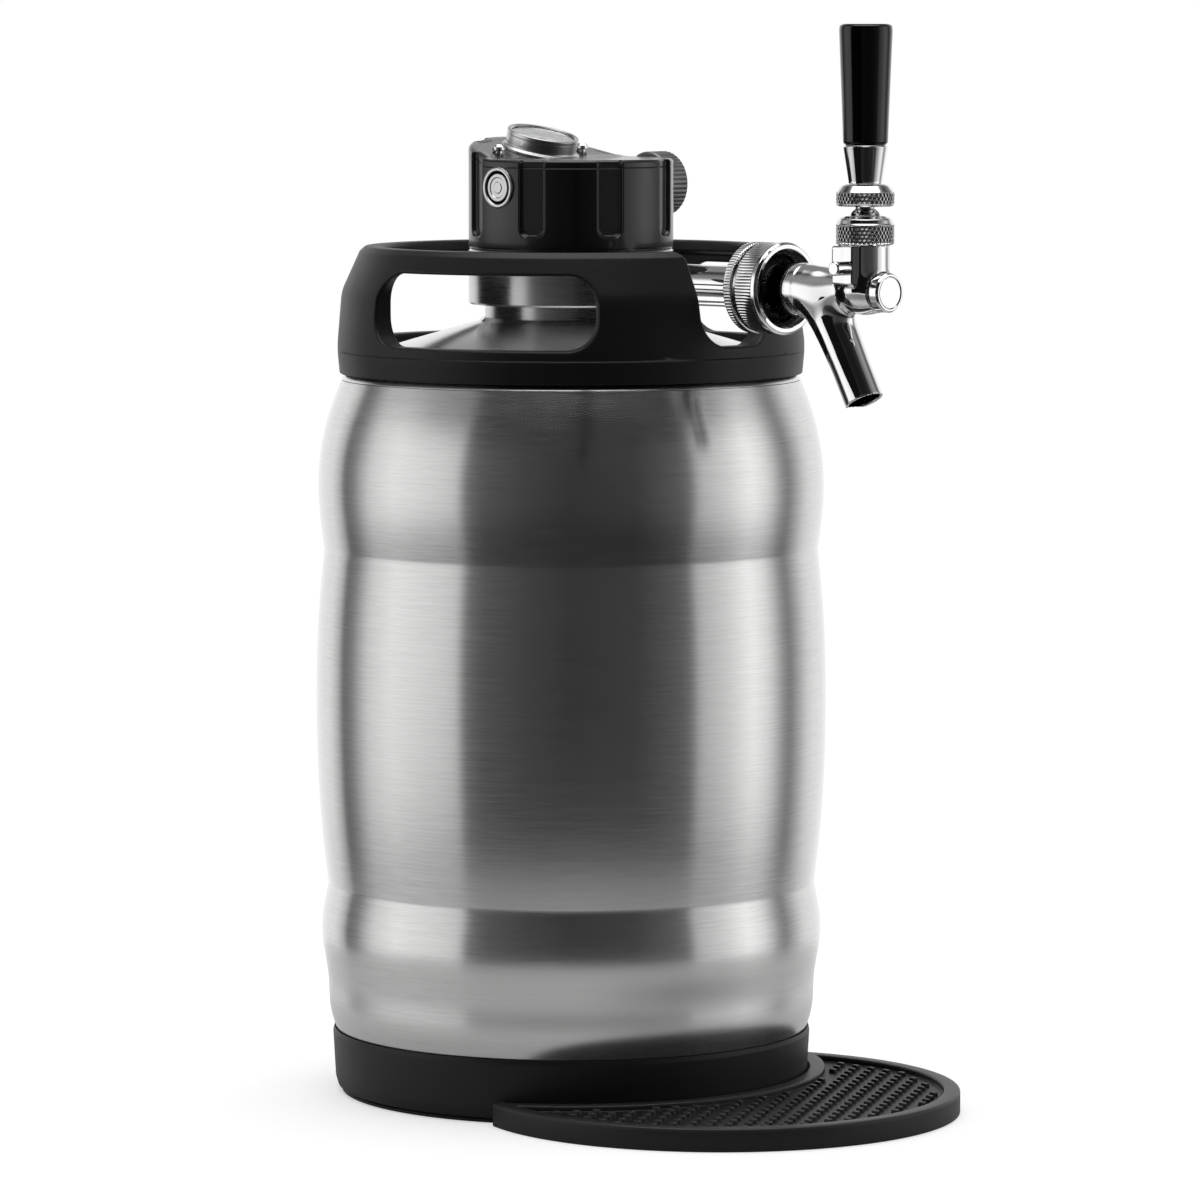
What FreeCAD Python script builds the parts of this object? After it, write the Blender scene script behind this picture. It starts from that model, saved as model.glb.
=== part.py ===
import FreeCAD, Part
import math
import os

# Mini keg drink dispenser. Millimetres. Origin on the keg's axis at the foot of the rubber boot, +Z up.
# The tap points to -Y, the regulator knob to +X and the relief button to -X.

V = FreeCAD.Vector
ORIGIN = V(0, 0, 0)
UP = V(0, 0, 1)
FRONT = V(0, -1, 0)
RIGHT = V(1, 0, 0)
LEFT = V(-1, 0, 0)

# Fits shared by many pieces
weld_gap = 0.05
seat_gap = 0.3
thread_gap = 0.2
running_gap = 0.05
slack = 0.4

# Barrel: outer radius at each named height
boot_lip_z = 22.3
barrel_foot_z = 6.5
barrel_foot_r = 76.0
barrel_tuck_z = 14.5
barrel_tuck_r = 85.2
barrel_lip_r = 88.5
barrel_lip_z = 24.0
barrel_low_z = 30.7
barrel_low_r = 90.5
low_step_z = 42.0
low_step_r = 91.2
low_bulge_z = 60.0
low_bulge_r = 93.5
low_groove_z = 77.5
low_groove_r = 91.0
belly_z = 146.0
belly_r = 95.5
high_groove_z = 203.5
high_groove_r = 92.1
high_bulge_z = 223.0
high_bulge_r = 94.3
barrel_high_z = 251.2
barrel_high_r = 91.0
barrel_top_z = 266.6
barrel_top_r = 85.7
shell_wall = 1.0

# Shoulder and neck
shoulder_round_r = 74.0
shoulder_slope = 0.2876
neck_foot_z = 289.2
neck_bore_r = 27.0
neck_r = neck_bore_r + 5.1
neck_top_z = 297.9
neck_wall = 0.9

# Inner vessel
vessel_r = 84.3
vessel_wall = 0.9
vessel_floor_z = 14.0
vessel_corner = 18.0
vacuum_gap = 6.0

# Boot
boot_r = 89.7
boot_foot_r = 86.4
boot_foot_h = 1.1
boot_slit_h = 0.7
boot_slit_depth = 1.2
boot_corner = 3.4

# Handle collar
collar_bottom_z = 268.0
collar_bottom_r = 85.9
collar_wide_z = 276.6
collar_wide_r = 87.1
collar_crease_z = 299.6
collar_crease_r = 85.4
collar_top_z = 316.4
collar_top_r = 77.0
collar_edge_z = 314.5
collar_edge_r = 78.6
collar_inner_r = 78.6
collar_mouth_r = 69.8
slot_low_z = 281.3
slot_high_z = 308.0
slot_half_angle = 31.5
slot_centres = (60.0, -60.0, 180.0)
notch_floor_z = 281.8
notch_half_low = 17.4
notch_half_high = 19.5
notch_corner = 11.0

# Drip mat
mat_r = 89.4
mat_centre = 76.0
mat_h = 8.5
mat_rim = 6.0
mat_field_z = 6.4
mat_horn_y = -42.5
mat_bite_r = 89.4

# Head: steel manifold ring and black housing
head_r = 38.1
manifold_low_z = 294.8
housing_z = 315.3
housing_front_z = 348.8
hump_start_y = 7.6
hump_rise = 8.2
housing_wall = 3.5
housing_roof = 3.0
grip_count = 8
grip_first = 22.5
grip_w = 10.0
grip_depth = 2.0
grip_low_z = 320.4
cavity_z = 300.0
plug_low_z = 288.0
side_axis_z = 338.5
gas_x = -15.0
gas_y = -9.0
gas_bore_r = 2.0
gas_valve_r = 3.3
gas_valve_h = 6.9
groove_depth = 1.4
groove_low = 2.4
groove_high = 4.6

# Dip tube, cartridge and sleeve
dip_y = -18.0
dip_r = 3.2
dip_bore = 2.3
dip_low_z = 22.0
sleeve_y = 9.0
sleeve_r = 13.0
sleeve_wall = 1.3
boss_low_z = 276.0
boss_r = 11.3
cartridge_r = 11.0
cartridge_len = 86.0
cartridge_wall = 1.3
cartridge_neck_r = 4.3
cartridge_neck_len = 9.0
cartridge_top_z = 282.2
pierce_r = 1.2

# Gauge
gauge_y = 16.3
gauge_z = 351.0
gauge_tilt = 14.4
gauge_r = 13.5
gauge_h = 7.2
gauge_depth = 4.5
gauge_wall = 1.1
housing_screw_x = 21.85
housing_screw_y = 16.05
housing_screw_r = 2.3
housing_screw_grip = 6.0

# Regulator
regulator_r = 7.0
regulator_bore = 5.6
regulator_inner_x = -14.0
regulator_outer_x = head_r - 12.1
piston_x = 4.0
piston_t = 3.0
spring_wire = 1.0
spring_r = 4.2
spring_turns = 5
seat_x = regulator_outer_x - 8.0
seat_t = 2.0
spindle_r = 3.0
knob_r = 12.3
knob_inner_x = head_r + 2.1
knob_outer_x = knob_inner_x + 10.3

# Relief button
relief_ring_r = 7.6
relief_ring_bore = 6.1
relief_r = 5.1
relief_face_x = head_r + 0.5
relief_block_x = head_r - 10.1
relief_pocket_x = relief_block_x - 6.5
relief_stem_x = relief_pocket_x - 1.5
relief_travel = 2.5
relief_t = 5.0
relief_stem_r = 1.6
relief_spring_r = 3.2
relief_block_r = 6.0

# Tap, measured forwards from the keg's axis
tap_z = 303.5
shank_r = 7.55
shank_bore = 4.5
shank_root = head_r - 4.6
ring_back = 93.6
ring_front = 97.6
nut_back = 100.2
nut_rim = 109.0
nut_front = 110.3
nut_r = 16.6
boss_thread_r = 14.2
washer_back = 103.0
washer_t = 1.0
flange_front = 105.8
nut_lip_r = 12.6
flare_r = 12.0
flare_front = 118.5
barrel_r = 7.1
tap_axis = 148.1
tower_r = 8.95
tower_top_z = 320.2
plug_flange_back = tap_axis + 7.4
plug_front = plug_flange_back + 4.9
plug_r = 7.2
plug_thread_r = 5.0
tower_foot_z = 297.4
tower_foot_r = 5.5
tower_foot_rise = 5.0
chamber_r = 6.0
shaft_r = 2.3
shaft_front = tap_axis + 4.9
seat_washer_r = 5.2
seat_washer_t = 2.0
spout_start = tap_axis - 20.6
spout_tip = tap_axis
spout_tip_z = 264.5
spout_r = 7.05
spout_bore = 6.0
throat_r = 4.0
side_boss_x = 9.7
side_boss_half = 5.2
side_boss_low_z = 306.5
side_boss_high_z = 319.6
stop_pin_r = 2.55
stop_pin_z = 312.2
stop_pin_len = 7.1

# Lever and handle
ball_z = 327.2
ball_r = 6.8
bonnet_r = 10.55
bonnet_knurl_z = 327.6
bonnet_top_z = 330.6
bonnet_hole_r = ball_r - 0.7
bonnet_bore = ball_r + 0.4
spigot_z = 322.4
lever_swing = 18.0
stem_r = 3.5
tail_r = 1.7
collar_low_z = ball_z + ball_r
lever_collar_r = 10.55
collar_knurl_z = collar_low_z + 5.0
collar_neck_z = collar_low_z + 7.9
collar_neck_r = 8.4
ferrule_low_r = 6.05
ferrule_high_r = 8.03
ferrule_top_z = collar_neck_z + 13.8
stud_r = 2.5
grip_low = ferrule_top_z + 0.5
stud_top_z = grip_low + 15.8
grip_low_r = 8.03
grip_top_r = 9.6
grip_top = 398.7
grip_round = 1.6


def wire_of(start, steps):
    """Closed outline in the XZ half plane. A step is a corner, or a pair of points that an arc passes."""
    edges = []
    here = V(start[0], 0, start[1])
    for step in steps:
        if isinstance(step[0], tuple):
            middle = V(step[0][0], 0, step[0][1])
            end = V(step[1][0], 0, step[1][1])
            edges.append(Part.Arc(here, middle, end).toShape())
        else:
            end = V(step[0], 0, step[1])
            edges.append(Part.makeLine(here, end))
        here = end
    first = V(start[0], 0, start[1])
    if here.distanceToPoint(first) > 1e-6:
        edges.append(Part.makeLine(here, first))
    return Part.Wire(edges)


def lathe(start, *steps):
    """Solid of revolution about Z of a closed outline of (radius, height) corners and arcs."""
    face = Part.Face(wire_of(start, steps))
    return face.revolve(ORIGIN, UP, 360)


def aimed(shape, origin, direction):
    """A shape built along +Z from the origin, turned to point along a direction and moved to a place."""
    copy = shape.copy()
    copy.Placement = FreeCAD.Placement(origin, FreeCAD.Rotation(UP, direction)).multiply(copy.Placement)
    return copy


def on_tap(shape):
    return aimed(shape, V(0, 0, tap_z), FRONT)


def on_side(shape, direction):
    return aimed(shape, V(0, 0, side_axis_z), direction)


def rod(radius, low, high):
    return Part.makeCylinder(radius, high - low, V(0, 0, low))


def pipe(outer, inner, low, high):
    return rod(outer, low, high).cut(rod(inner, low - 1, high + 1))


def rod_between(radius, start, end):
    axis = end.sub(start)
    return Part.makeCylinder(radius, axis.Length, start, axis)


def fused(*shapes):
    whole = shapes[0]
    for shape in shapes[1:]:
        whole = whole.fuse(shape)
    return whole.removeSplitter()


def edges_along_y(block, half_width, height):
    """The two lower edges of a block that run in and out, at plus and minus half its width."""
    near = 0.01
    return [edge for edge in block.Edges
            if abs(edge.CenterOfMass.z - height) < near
            and abs(abs(edge.CenterOfMass.x) - half_width) < near]


def turned_about_z(shape, angle):
    copy = shape.copy()
    copy.rotate(ORIGIN, UP, angle)
    return copy


def save(node, shape):
    """Writes one node. A group is one shape that holds separate solids."""
    if not shape.isValid():
        raise ValueError(node + " is not a valid shape")
    if len(shape.Solids) == 1:
        shape = shape.Solids[0]
    shape.exportStep("parts/" + node + ".step")
    box = shape.BoundBox
    print("%-20s %2d solid %10.0f mm3  x %.1f %.1f  y %.1f %.1f  z %.1f %.1f" % (
        node, len(shape.Solids), shape.Volume, box.XMin, box.XMax, box.YMin, box.YMax, box.ZMin, box.ZMax))


# Barrel shell


def barrel_curves(inset):
    """The rolled barrel's profile in three curves that meet in its two grooves, moved inwards by inset."""
    low_groove = (low_groove_r, low_groove_z)
    high_groove = (high_groove_r, high_groove_z)
    low_part = (
        (barrel_tuck_r, barrel_tuck_z), (barrel_lip_r, barrel_lip_z), (barrel_low_r, barrel_low_z),
        (low_step_r, low_step_z),
        (low_bulge_r, low_bulge_z), low_groove)
    belly_part = (
        low_groove, (low_groove_r + 1.9, low_groove_z + 15.5), (belly_r, belly_z),
        (high_groove_r + 1.9, high_groove_z - 19.5), high_groove)
    high_part = (
        high_groove, (high_bulge_r, high_bulge_z), (barrel_high_r, barrel_high_z),
            (barrel_top_r, barrel_top_z))
    curves = []
    for part in (low_part, belly_part, high_part):
        curve = Part.BSplineCurve()
        curve.interpolate([V(radius - inset, 0, height) for radius, height in part])
        curves.append(curve.toShape())
    return curves


def foot_arc(inset):
    """Arc that tucks the barrel's foot in to its flat bottom."""
    low = V(barrel_foot_r, 0, barrel_foot_z + inset)
    high = V(barrel_tuck_r - inset, 0, barrel_tuck_z)
    reach = high.x - low.x
    rise = high.z - low.z
    middle = V(low.x + 0.707 * reach, 0, low.z + 0.293 * rise)
    return Part.Arc(low, middle, high).toShape()


def outer_barrel():
    lip = Part.makeLine(V(barrel_top_r, 0, barrel_top_z), V(barrel_top_r - shell_wall, 0, barrel_top_z))
    toe = Part.makeLine(V(barrel_foot_r, 0, barrel_foot_z), V(barrel_foot_r, 0, barrel_foot_z + shell_wall))
    outside = [foot_arc(0)] + barrel_curves(0)
    inside = [foot_arc(shell_wall)] + barrel_curves(shell_wall)
    edges = Part.__sortEdges__(outside + [lip] + inside + [toe])
    return Part.Face(Part.Wire(edges)).revolve(ORIGIN, UP, 360)


def base_plate():
    recess_r = barrel_foot_r * 0.6
    low = barrel_foot_z
    high = barrel_foot_z + shell_wall
    step = 2.0
    return lathe(
        (0, low + step), (recess_r, low + step), (recess_r + step, low), (barrel_foot_r - weld_gap, low),
        (barrel_foot_r - weld_gap, high), (recess_r + step, high), (recess_r, high + step),
        (0, high + step))


def shoulder_z(radius):
    """Height of the conical shoulder's outside at a radius."""
    return neck_foot_z - (radius - neck_r) * shoulder_slope


def outer_shoulder():
    top_r = barrel_top_r
    arc_r = shoulder_round_r
    bend_r = top_r - 0.36 * (top_r - arc_r)
    bend_z = barrel_top_z + 0.6 * (shoulder_z(arc_r) - barrel_top_z)
    wall = shell_wall
    return lathe(
        (top_r, barrel_top_z + weld_gap), ((bend_r, bend_z), (arc_r, shoulder_z(arc_r))),
        (neck_r + weld_gap, neck_foot_z),
        (neck_r + weld_gap, neck_foot_z - wall),
        (arc_r - wall, shoulder_z(arc_r) - wall),
        ((bend_r - wall, bend_z - wall), (top_r - wall, barrel_top_z + weld_gap)))


def keg_neck():
    foot_z = shoulder_z(neck_r) - 2 * shell_wall
    bead = 0.8
    return lathe(
        (neck_bore_r + neck_wall + weld_gap, foot_z), (neck_r, foot_z), (neck_r, neck_top_z - bead),
        (neck_r - bead, neck_top_z), (neck_bore_r + neck_wall + weld_gap, neck_top_z))


def inner_vessel():
    """Inner wall of the double shell: dished floor, straight wall, cone and neck tube."""
    cone_low = shoulder_z(vessel_r) - vacuum_gap - shell_wall - 6
    neck_out = neck_bore_r + neck_wall
    cone_high = shoulder_z(neck_out) - vacuum_gap
    floor = vessel_floor_z
    wall = vessel_wall
    bend = vessel_corner * 0.293
    return lathe(
        (0, floor), (vessel_r - vessel_corner, floor),
        ((vessel_r - bend, floor + bend), (vessel_r, floor + vessel_corner)),
        (vessel_r, cone_low), (neck_out, cone_high), (neck_out, neck_top_z),
        (neck_bore_r, neck_top_z), (neck_bore_r, cone_high - wall), (vessel_r - wall, cone_low - wall),
        (vessel_r - wall, floor + vessel_corner),
        ((vessel_r - bend - wall * 0.707, floor + bend + wall * 0.707),
        (vessel_r - vessel_corner, floor + wall)),
        (0, floor + wall))


def barrel_block(growth):
    """Solid as large as the closed barrel's outside, grown by a gap."""
    start = V(0, 0, barrel_foot_z - growth)
    toe = V(barrel_foot_r, 0, barrel_foot_z - growth)
    top_r = barrel_top_r + growth
    edges = [Part.makeLine(start, toe), foot_arc(-growth)] + barrel_curves(-growth)
    edges.append(Part.makeLine(V(top_r, 0, barrel_top_z), V(0, 0, barrel_top_z)))
    edges.append(Part.makeLine(V(0, 0, barrel_top_z), start))
    return Part.Face(Part.Wire(Part.__sortEdges__(edges))).revolve(ORIGIN, UP, 360)


def boot():
    """Rubber cup on the keg's foot, with a foot ring and a slit above it."""
    slit_low = boot_foot_h
    slit_high = boot_foot_h + boot_slit_h
    corner_r = boot_r - 0.9
    block = lathe(
        (0, 0), (boot_foot_r, 0), (boot_foot_r, slit_low), (boot_foot_r - boot_slit_depth, slit_low),
        (boot_foot_r - boot_slit_depth, slit_high), (corner_r - boot_corner * 0.6, slit_high),
        ((corner_r - 0.4, slit_high + boot_corner * 0.4), (corner_r, slit_high + boot_corner)),
        (boot_r, boot_lip_z), (barrel_lip_r + 0.6, boot_lip_z + 1.7), (0, boot_lip_z + 1.7))
    return block.cut(barrel_block(seat_gap))


# Handle collar


def collar_slot(centre):
    """Cutter for one hand slot: a wedge of ring with half round ends, as wide as the slot's angle."""
    half_h = (slot_high_z - slot_low_z) / 2
    middle_z = (slot_high_z + slot_low_z) / 2
    end_angle = slot_half_angle - math.degrees(half_h / collar_wide_r)
    reach = collar_wide_r + 10
    inner = collar_inner_r - 10
    profile = Part.makePolygon([
        V(inner, 0, slot_low_z), V(reach, 0, slot_low_z), V(reach, 0, slot_high_z),
            V(inner, 0, slot_high_z),
        V(inner, 0, slot_low_z)])
    ring = Part.Face(profile).revolve(ORIGIN, UP, 2 * end_angle)
    ring.rotate(ORIGIN, UP, -90 - end_angle)
    cutter = ring
    for side in (-1, 1):
        angle = math.radians(-90 + side * end_angle)
        way = V(math.cos(angle), math.sin(angle), 0)
        cutter = cutter.fuse(Part.makeCylinder(half_h, reach - inner, way * inner + V(0, 0, middle_z), way))
    return turned_about_z(cutter, centre)


def collar_notch():
    """Cutter for the U-shaped notch that the tap's shank drops into."""
    top = collar_top_z + 5
    flare = (notch_half_high - notch_half_low) / (collar_top_z - notch_floor_z)
    half_top = notch_half_low + flare * (top - notch_floor_z)
    outline = Part.makePolygon([
        V(-notch_half_low, 0, notch_floor_z), V(notch_half_low, 0, notch_floor_z), V(half_top, 0, top),
        V(-half_top, 0, top), V(-notch_half_low, 0, notch_floor_z)])
    block = Part.Face(outline).extrude(V(0, -collar_wide_r - 10, 0))
    corners = edges_along_y(block, notch_half_low, notch_floor_z)
    return block.makeFillet(notch_corner, corners)


def handle_collar():
    seat = barrel_top_r - 0.36 * (barrel_top_r - shoulder_round_r)
    seat_z = barrel_top_z + 0.6 * (shoulder_z(shoulder_round_r) - barrel_top_z)
    inner_foot_z = shoulder_z(collar_inner_r) + seat_gap + 0.4
    ring = lathe(
        (collar_bottom_r + 0.3, collar_bottom_z + seat_gap), (collar_wide_r, collar_wide_z),
        (collar_crease_r, collar_crease_z), (collar_edge_r, collar_edge_z),
        (collar_top_r, collar_top_z - 0.3),
        (collar_top_r - 1.2, collar_top_z), (collar_mouth_r + 1.2, collar_top_z),
        (collar_mouth_r, collar_top_z - 1.2),
        (collar_mouth_r, collar_top_z - 5), (collar_inner_r, slot_high_z + 1.0),
        (collar_inner_r, inner_foot_z), (seat + seat_gap + 0.3, seat_z + seat_gap + 0.3))
    for centre in slot_centres:
        ring = ring.cut(collar_slot(centre))
    return ring.cut(collar_notch())


# Drip mat


def mat_plan(outer_r, bite_r, low, high):
    """Crescent block: a disc in front of the keg with the boot's circle bitten out of it."""
    disc = Part.makeCylinder(outer_r, high - low, V(0, -mat_centre, low))
    return disc.cut(rod(bite_r, low - 1, high + 1))


def drip_mat():
    whole = mat_plan(mat_r, mat_bite_r, 0, mat_h)
    behind = Part.makeBox(4 * mat_r, 4 * mat_r, 3 * mat_h, V(-2 * mat_r, mat_horn_y, -mat_h))
    field = mat_plan(mat_r - mat_rim, mat_bite_r + mat_rim, mat_field_z, mat_h + 1)
    return whole.cut(behind).cut(field)


# Head: manifold and what hangs from it


def manifold():
    chamfer = 0.7
    cavity_r = neck_r + seat_gap
    plug_r_out = neck_bore_r - seat_gap
    body = lathe(
        (0, plug_low_z), (plug_r_out - 1, plug_low_z), (plug_r_out, plug_low_z + 1), (plug_r_out, cavity_z),
        (cavity_r, cavity_z), (cavity_r, manifold_low_z), (head_r - chamfer, manifold_low_z),
        (head_r, manifold_low_z + chamfer), (head_r, housing_z - chamfer), (head_r - chamfer, housing_z),
        (0, housing_z))
    groove = pipe(neck_bore_r + 1, plug_r_out - groove_depth, plug_low_z + groove_low,
        plug_low_z + groove_high)
    boss = rod(boss_r, boss_low_z, plug_low_z)
    boss.translate(V(0, sleeve_y, 0))
    body = body.cut(groove).fuse(boss)
    dip_bore_hole = rod(dip_r + weld_gap, plug_low_z - 1, tap_z)
    dip_bore_hole.translate(V(0, dip_y, 0))
    passage = on_tap(rod(dip_bore, -dip_y, shank_root + 1))
    shank_socket = on_tap(rod(shank_r + weld_gap, shank_root, head_r + 1))
    neck_room = rod(cartridge_neck_r + slack, boss_low_z - 1, cartridge_top_z + 1.5)
    pin_bore = rod(pierce_r + weld_gap, cartridge_top_z, housing_z + 1)
    for shape in (neck_room, pin_bore):
        shape.translate(V(0, sleeve_y, 0))
    gas_bore = rod(gas_bore_r, plug_low_z - 1, housing_z + 1)
    valve_room = rod(gas_valve_r + 0.2, plug_low_z - 1, plug_low_z + gas_valve_h + 0.1)
    for shape in (gas_bore, valve_room):
        shape.translate(V(gas_x, gas_y, 0))
    screw_holes = []
    for side in (-1, 1):
        hole = rod(housing_screw_r * 0.6 + weld_gap, housing_z - housing_screw_grip - weld_gap,
            housing_z + 1)
        hole.translate(V(side * housing_screw_x, housing_screw_y, 0))
        screw_holes.append(hole)
    for cutter in [dip_bore_hole, passage, shank_socket, neck_room, pin_bore, gas_bore,
        valve_room] + screw_holes:
        body = body.cut(cutter)
    return body


def neck_gasket():
    return pipe(neck_r - 0.3, neck_bore_r + neck_wall + 0.3, neck_top_z + 0.1, cavity_z)


def plug_o_ring():
    """Rubber ring in the plug's groove, just clear of the neck's bore."""
    groove_r = neck_bore_r - seat_gap - groove_depth
    outer = neck_bore_r - 0.1
    section = (outer - groove_r - weld_gap) / 2
    return Part.makeTorus(outer - section, section, V(0, 0, plug_low_z + (groove_low + groove_high) / 2))


def dip_tube():
    tube = pipe(dip_r, dip_bore, dip_low_z, tap_z - dip_bore)
    tube.translate(V(0, dip_y, 0))
    return tube


def check_valve():
    """Duckbill valve in the gas outlet under the plug."""
    lip_r = 0.4
    lip_z = plug_low_z - 5
    high = plug_low_z + gas_valve_h
    inner = gas_valve_r / 2
    valve = lathe(
        (lip_r, lip_z), (lip_r + 1.2, lip_z), (gas_valve_r, plug_low_z), (gas_valve_r, high), (inner, high),
        (inner, plug_low_z + 1))
    valve.translate(V(gas_x, gas_y, 0))
    return valve


def piercing_pin():
    tip = cartridge_top_z + 0.4
    pin = lathe((0, tip), (pierce_r, tip + 2.5), (pierce_r, housing_z), (0, housing_z))
    pin.translate(V(0, sleeve_y, 0))
    return pin


def piercing_seal():
    seal = pipe(cartridge_neck_r + slack - weld_gap, pierce_r + 0.3, cartridge_top_z + 0.3,
        cartridge_top_z + 1.5)
    seal.translate(V(0, sleeve_y, 0))
    return seal


def co2_sleeve():
    """Threaded cup that screws up on to the manifold's boss and holds the cartridge."""
    inner = sleeve_r - sleeve_wall
    floor = cartridge_top_z - cartridge_len - 1.0
    low = floor - 1.8
    cup = lathe(
        (0, low), (sleeve_r - 2, low), (sleeve_r, low + 2), (sleeve_r, plug_low_z - 0.3),
        (inner, plug_low_z - 0.3),
        (inner, floor + 3), (4, floor), (0, floor))
    cup.translate(V(0, sleeve_y, 0))
    return cup


def co2_cartridge():
    """Hollow steel gas cartridge, neck up."""
    r = cartridge_r
    wall = cartridge_wall
    low = cartridge_top_z - cartridge_len
    shoulder = cartridge_top_z - cartridge_neck_len - 5
    skin = lathe(
        (0, low), ((0.707 * r, low + 0.293 * r), (r, low + r)), (r, shoulder - 5),
        ((r - 1.6, shoulder - 0.5), (cartridge_neck_r, shoulder + 4)), (cartridge_neck_r, cartridge_top_z),
        (0, cartridge_top_z))
    hollow = lathe(
        (0, low + wall), ((0.707 * (r - wall), low + wall + 0.293 * (r - wall)), (r - wall, low + r)),
        (r - wall, shoulder - 6), (cartridge_neck_r - wall, shoulder + 2),
        (cartridge_neck_r - wall, cartridge_top_z - 2),
        (0, cartridge_top_z - 2))
    can = skin.cut(hollow)
    can.translate(V(0, sleeve_y, 0))
    return can


# Housing


def housing_block(radius, low, drop):
    """Round block whose roof is flat at the tap and ramps up to a hump at the back, lowered by drop."""
    back = head_r + 5
    slope = math.tan(math.radians(gauge_tilt))
    front_z = housing_front_z - drop
    side = Part.makePolygon([
        V(0, -back, low), V(0, back, low), V(0, back, front_z + slope * (back - hump_start_y)),
        V(0, hump_start_y, front_z), V(0, -back, front_z), V(0, -back, low)])
    prism = Part.Face(side).extrude(V(2 * back, 0, 0))
    prism.translate(V(-back, 0, 0))
    return prism.common(rod(radius, low, front_z + 3 * hump_rise))


def grip_cutters():
    cutters = []
    for index in range(grip_count):
        box = Part.makeBox(grip_w, 10, 60, V(-grip_w / 2, -head_r - 10 + grip_depth, grip_low_z))
        corners = edges_along_y(box, grip_w / 2, grip_low_z)
        box = box.makeFillet(3.5, corners)
        cutters.append(turned_about_z(box, grip_first + index * 360.0 / grip_count))
    return cutters


def gauge_axis():
    tilt = math.radians(gauge_tilt)
    return V(0, -math.sin(tilt), math.cos(tilt))


def on_gauge(shape):
    return aimed(shape, V(0, gauge_y, gauge_z), gauge_axis())


def roof_z(y):
    """Height of the housing's roof at a distance behind the axis."""
    return housing_front_z + max(0.0, y - hump_start_y) * math.tan(math.radians(gauge_tilt))


def housing():
    block = housing_block(head_r, housing_z, 0)
    hollow = housing_block(head_r - housing_wall, housing_z - 1, housing_roof)
    shell = block.cut(hollow)
    for cutter in grip_cutters():
        shell = shell.cut(cutter)
    shell = shell.cut(on_gauge(rod(gauge_r + weld_gap, -2 * gauge_depth, gauge_h)))
    shell = shell.cut(on_side(rod(spindle_r + slack, 0, head_r + 5), RIGHT))
    shell = shell.cut(on_side(rod(relief_ring_r + weld_gap, 20, head_r + 5), LEFT))
    for side in (-1, 1):
        foot = V(side * housing_screw_x, housing_screw_y, housing_z - 1)
        shell = shell.fuse(Part.makeCylinder(housing_screw_r + 1.8, roof_z(housing_screw_y) - housing_z,
            foot + UP))
        shell = shell.cut(Part.makeCylinder(housing_screw_r * 0.6 + weld_gap, 60, foot))
    return shell


def housing_screws():
    """Two long socket head screws that hold the housing down on the manifold, as one group."""
    screws = []
    for side in (-1, 1):
        place = V(side * housing_screw_x, housing_screw_y, 0)
        seat = roof_z(housing_screw_y + housing_screw_r) + weld_gap
        low = housing_z - housing_screw_grip
        head = rod(housing_screw_r, seat, seat + 2.2).cut(rod(housing_screw_r * 0.5, seat + 1.0, seat + 3))
        screw = head.fuse(rod(housing_screw_r * 0.6, low, seat)).removeSplitter()
        screw.translate(place)
        screws.append(screw)
    return Part.makeCompound(screws)


# Gauge


def gauge_case():
    inner = gauge_r - gauge_wall
    case = lathe(
        (0, -gauge_depth), (gauge_r, -gauge_depth), (gauge_r, gauge_h - 1.6), (inner, gauge_h - 1.6),
        (inner, -gauge_depth + 1.2), (0, -gauge_depth + 1.2))
    return on_gauge(case.cut(rod(2.2, -gauge_depth - 1, -gauge_depth + 2)))


def gauge_bezel():
    inner = gauge_r - gauge_wall
    low = gauge_h - 1.6
    return on_gauge(lathe(
        (inner - 0.3, low), (gauge_r, low), (gauge_r, gauge_h - 0.6), (gauge_r - 0.6, gauge_h),
        (inner - 0.6, gauge_h), (inner - 0.6, gauge_h - 0.7), (inner - 0.3, gauge_h - 0.7)))


def gauge_dial():
    plate = rod(gauge_r - gauge_wall - 0.1, 2.6, 3.2)
    return on_gauge(plate.cut(rod(0.8 + running_gap, 2, 4)))


def gauge_glass():
    return on_gauge(rod(gauge_r - gauge_wall - 0.35, gauge_h - 1.5, gauge_h - 0.75))


def gauge_needle():
    """Pointer, hub and arbor in one piece, on the gauge's axis."""
    hub = rod(1.4, 3.4, 4.6)
    arbor = rod(0.8, -0.5, 3.4)
    pointer = Part.makeBox(0.7, 9.6, 0.4, V(-0.35, 0, 3.8))
    tail = Part.makeBox(1.4, 3.2, 0.4, V(-0.7, -3.2, 3.8))
    needle = fused(hub, arbor, pointer, tail)
    needle.rotate(ORIGIN, UP, 135)
    return on_gauge(needle)


def bourdon_tube():
    """Curved pressure tube under the dial, with its socket block."""
    bend_r = 8.4
    circle = Part.Wire([Part.makeCircle(1.1, V(bend_r, 0, -1.4), V(0, 1, 0))])
    tube = Part.Face(circle).revolve(ORIGIN, UP, 250)
    block = Part.makeBox(4.4, 4.0, 3.0, V(bend_r - 2.2, -3.0, -gauge_depth + 1.25))
    return on_gauge(tube.fuse(block).removeSplitter())


def gauge_stem():
    stem = fused(rod(2.15, -gauge_depth - 3.5, -gauge_depth + 1.2),
        rod(4.0, -gauge_depth - 3.5, -gauge_depth - weld_gap))
    return on_gauge(stem)


# Regulator


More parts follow.
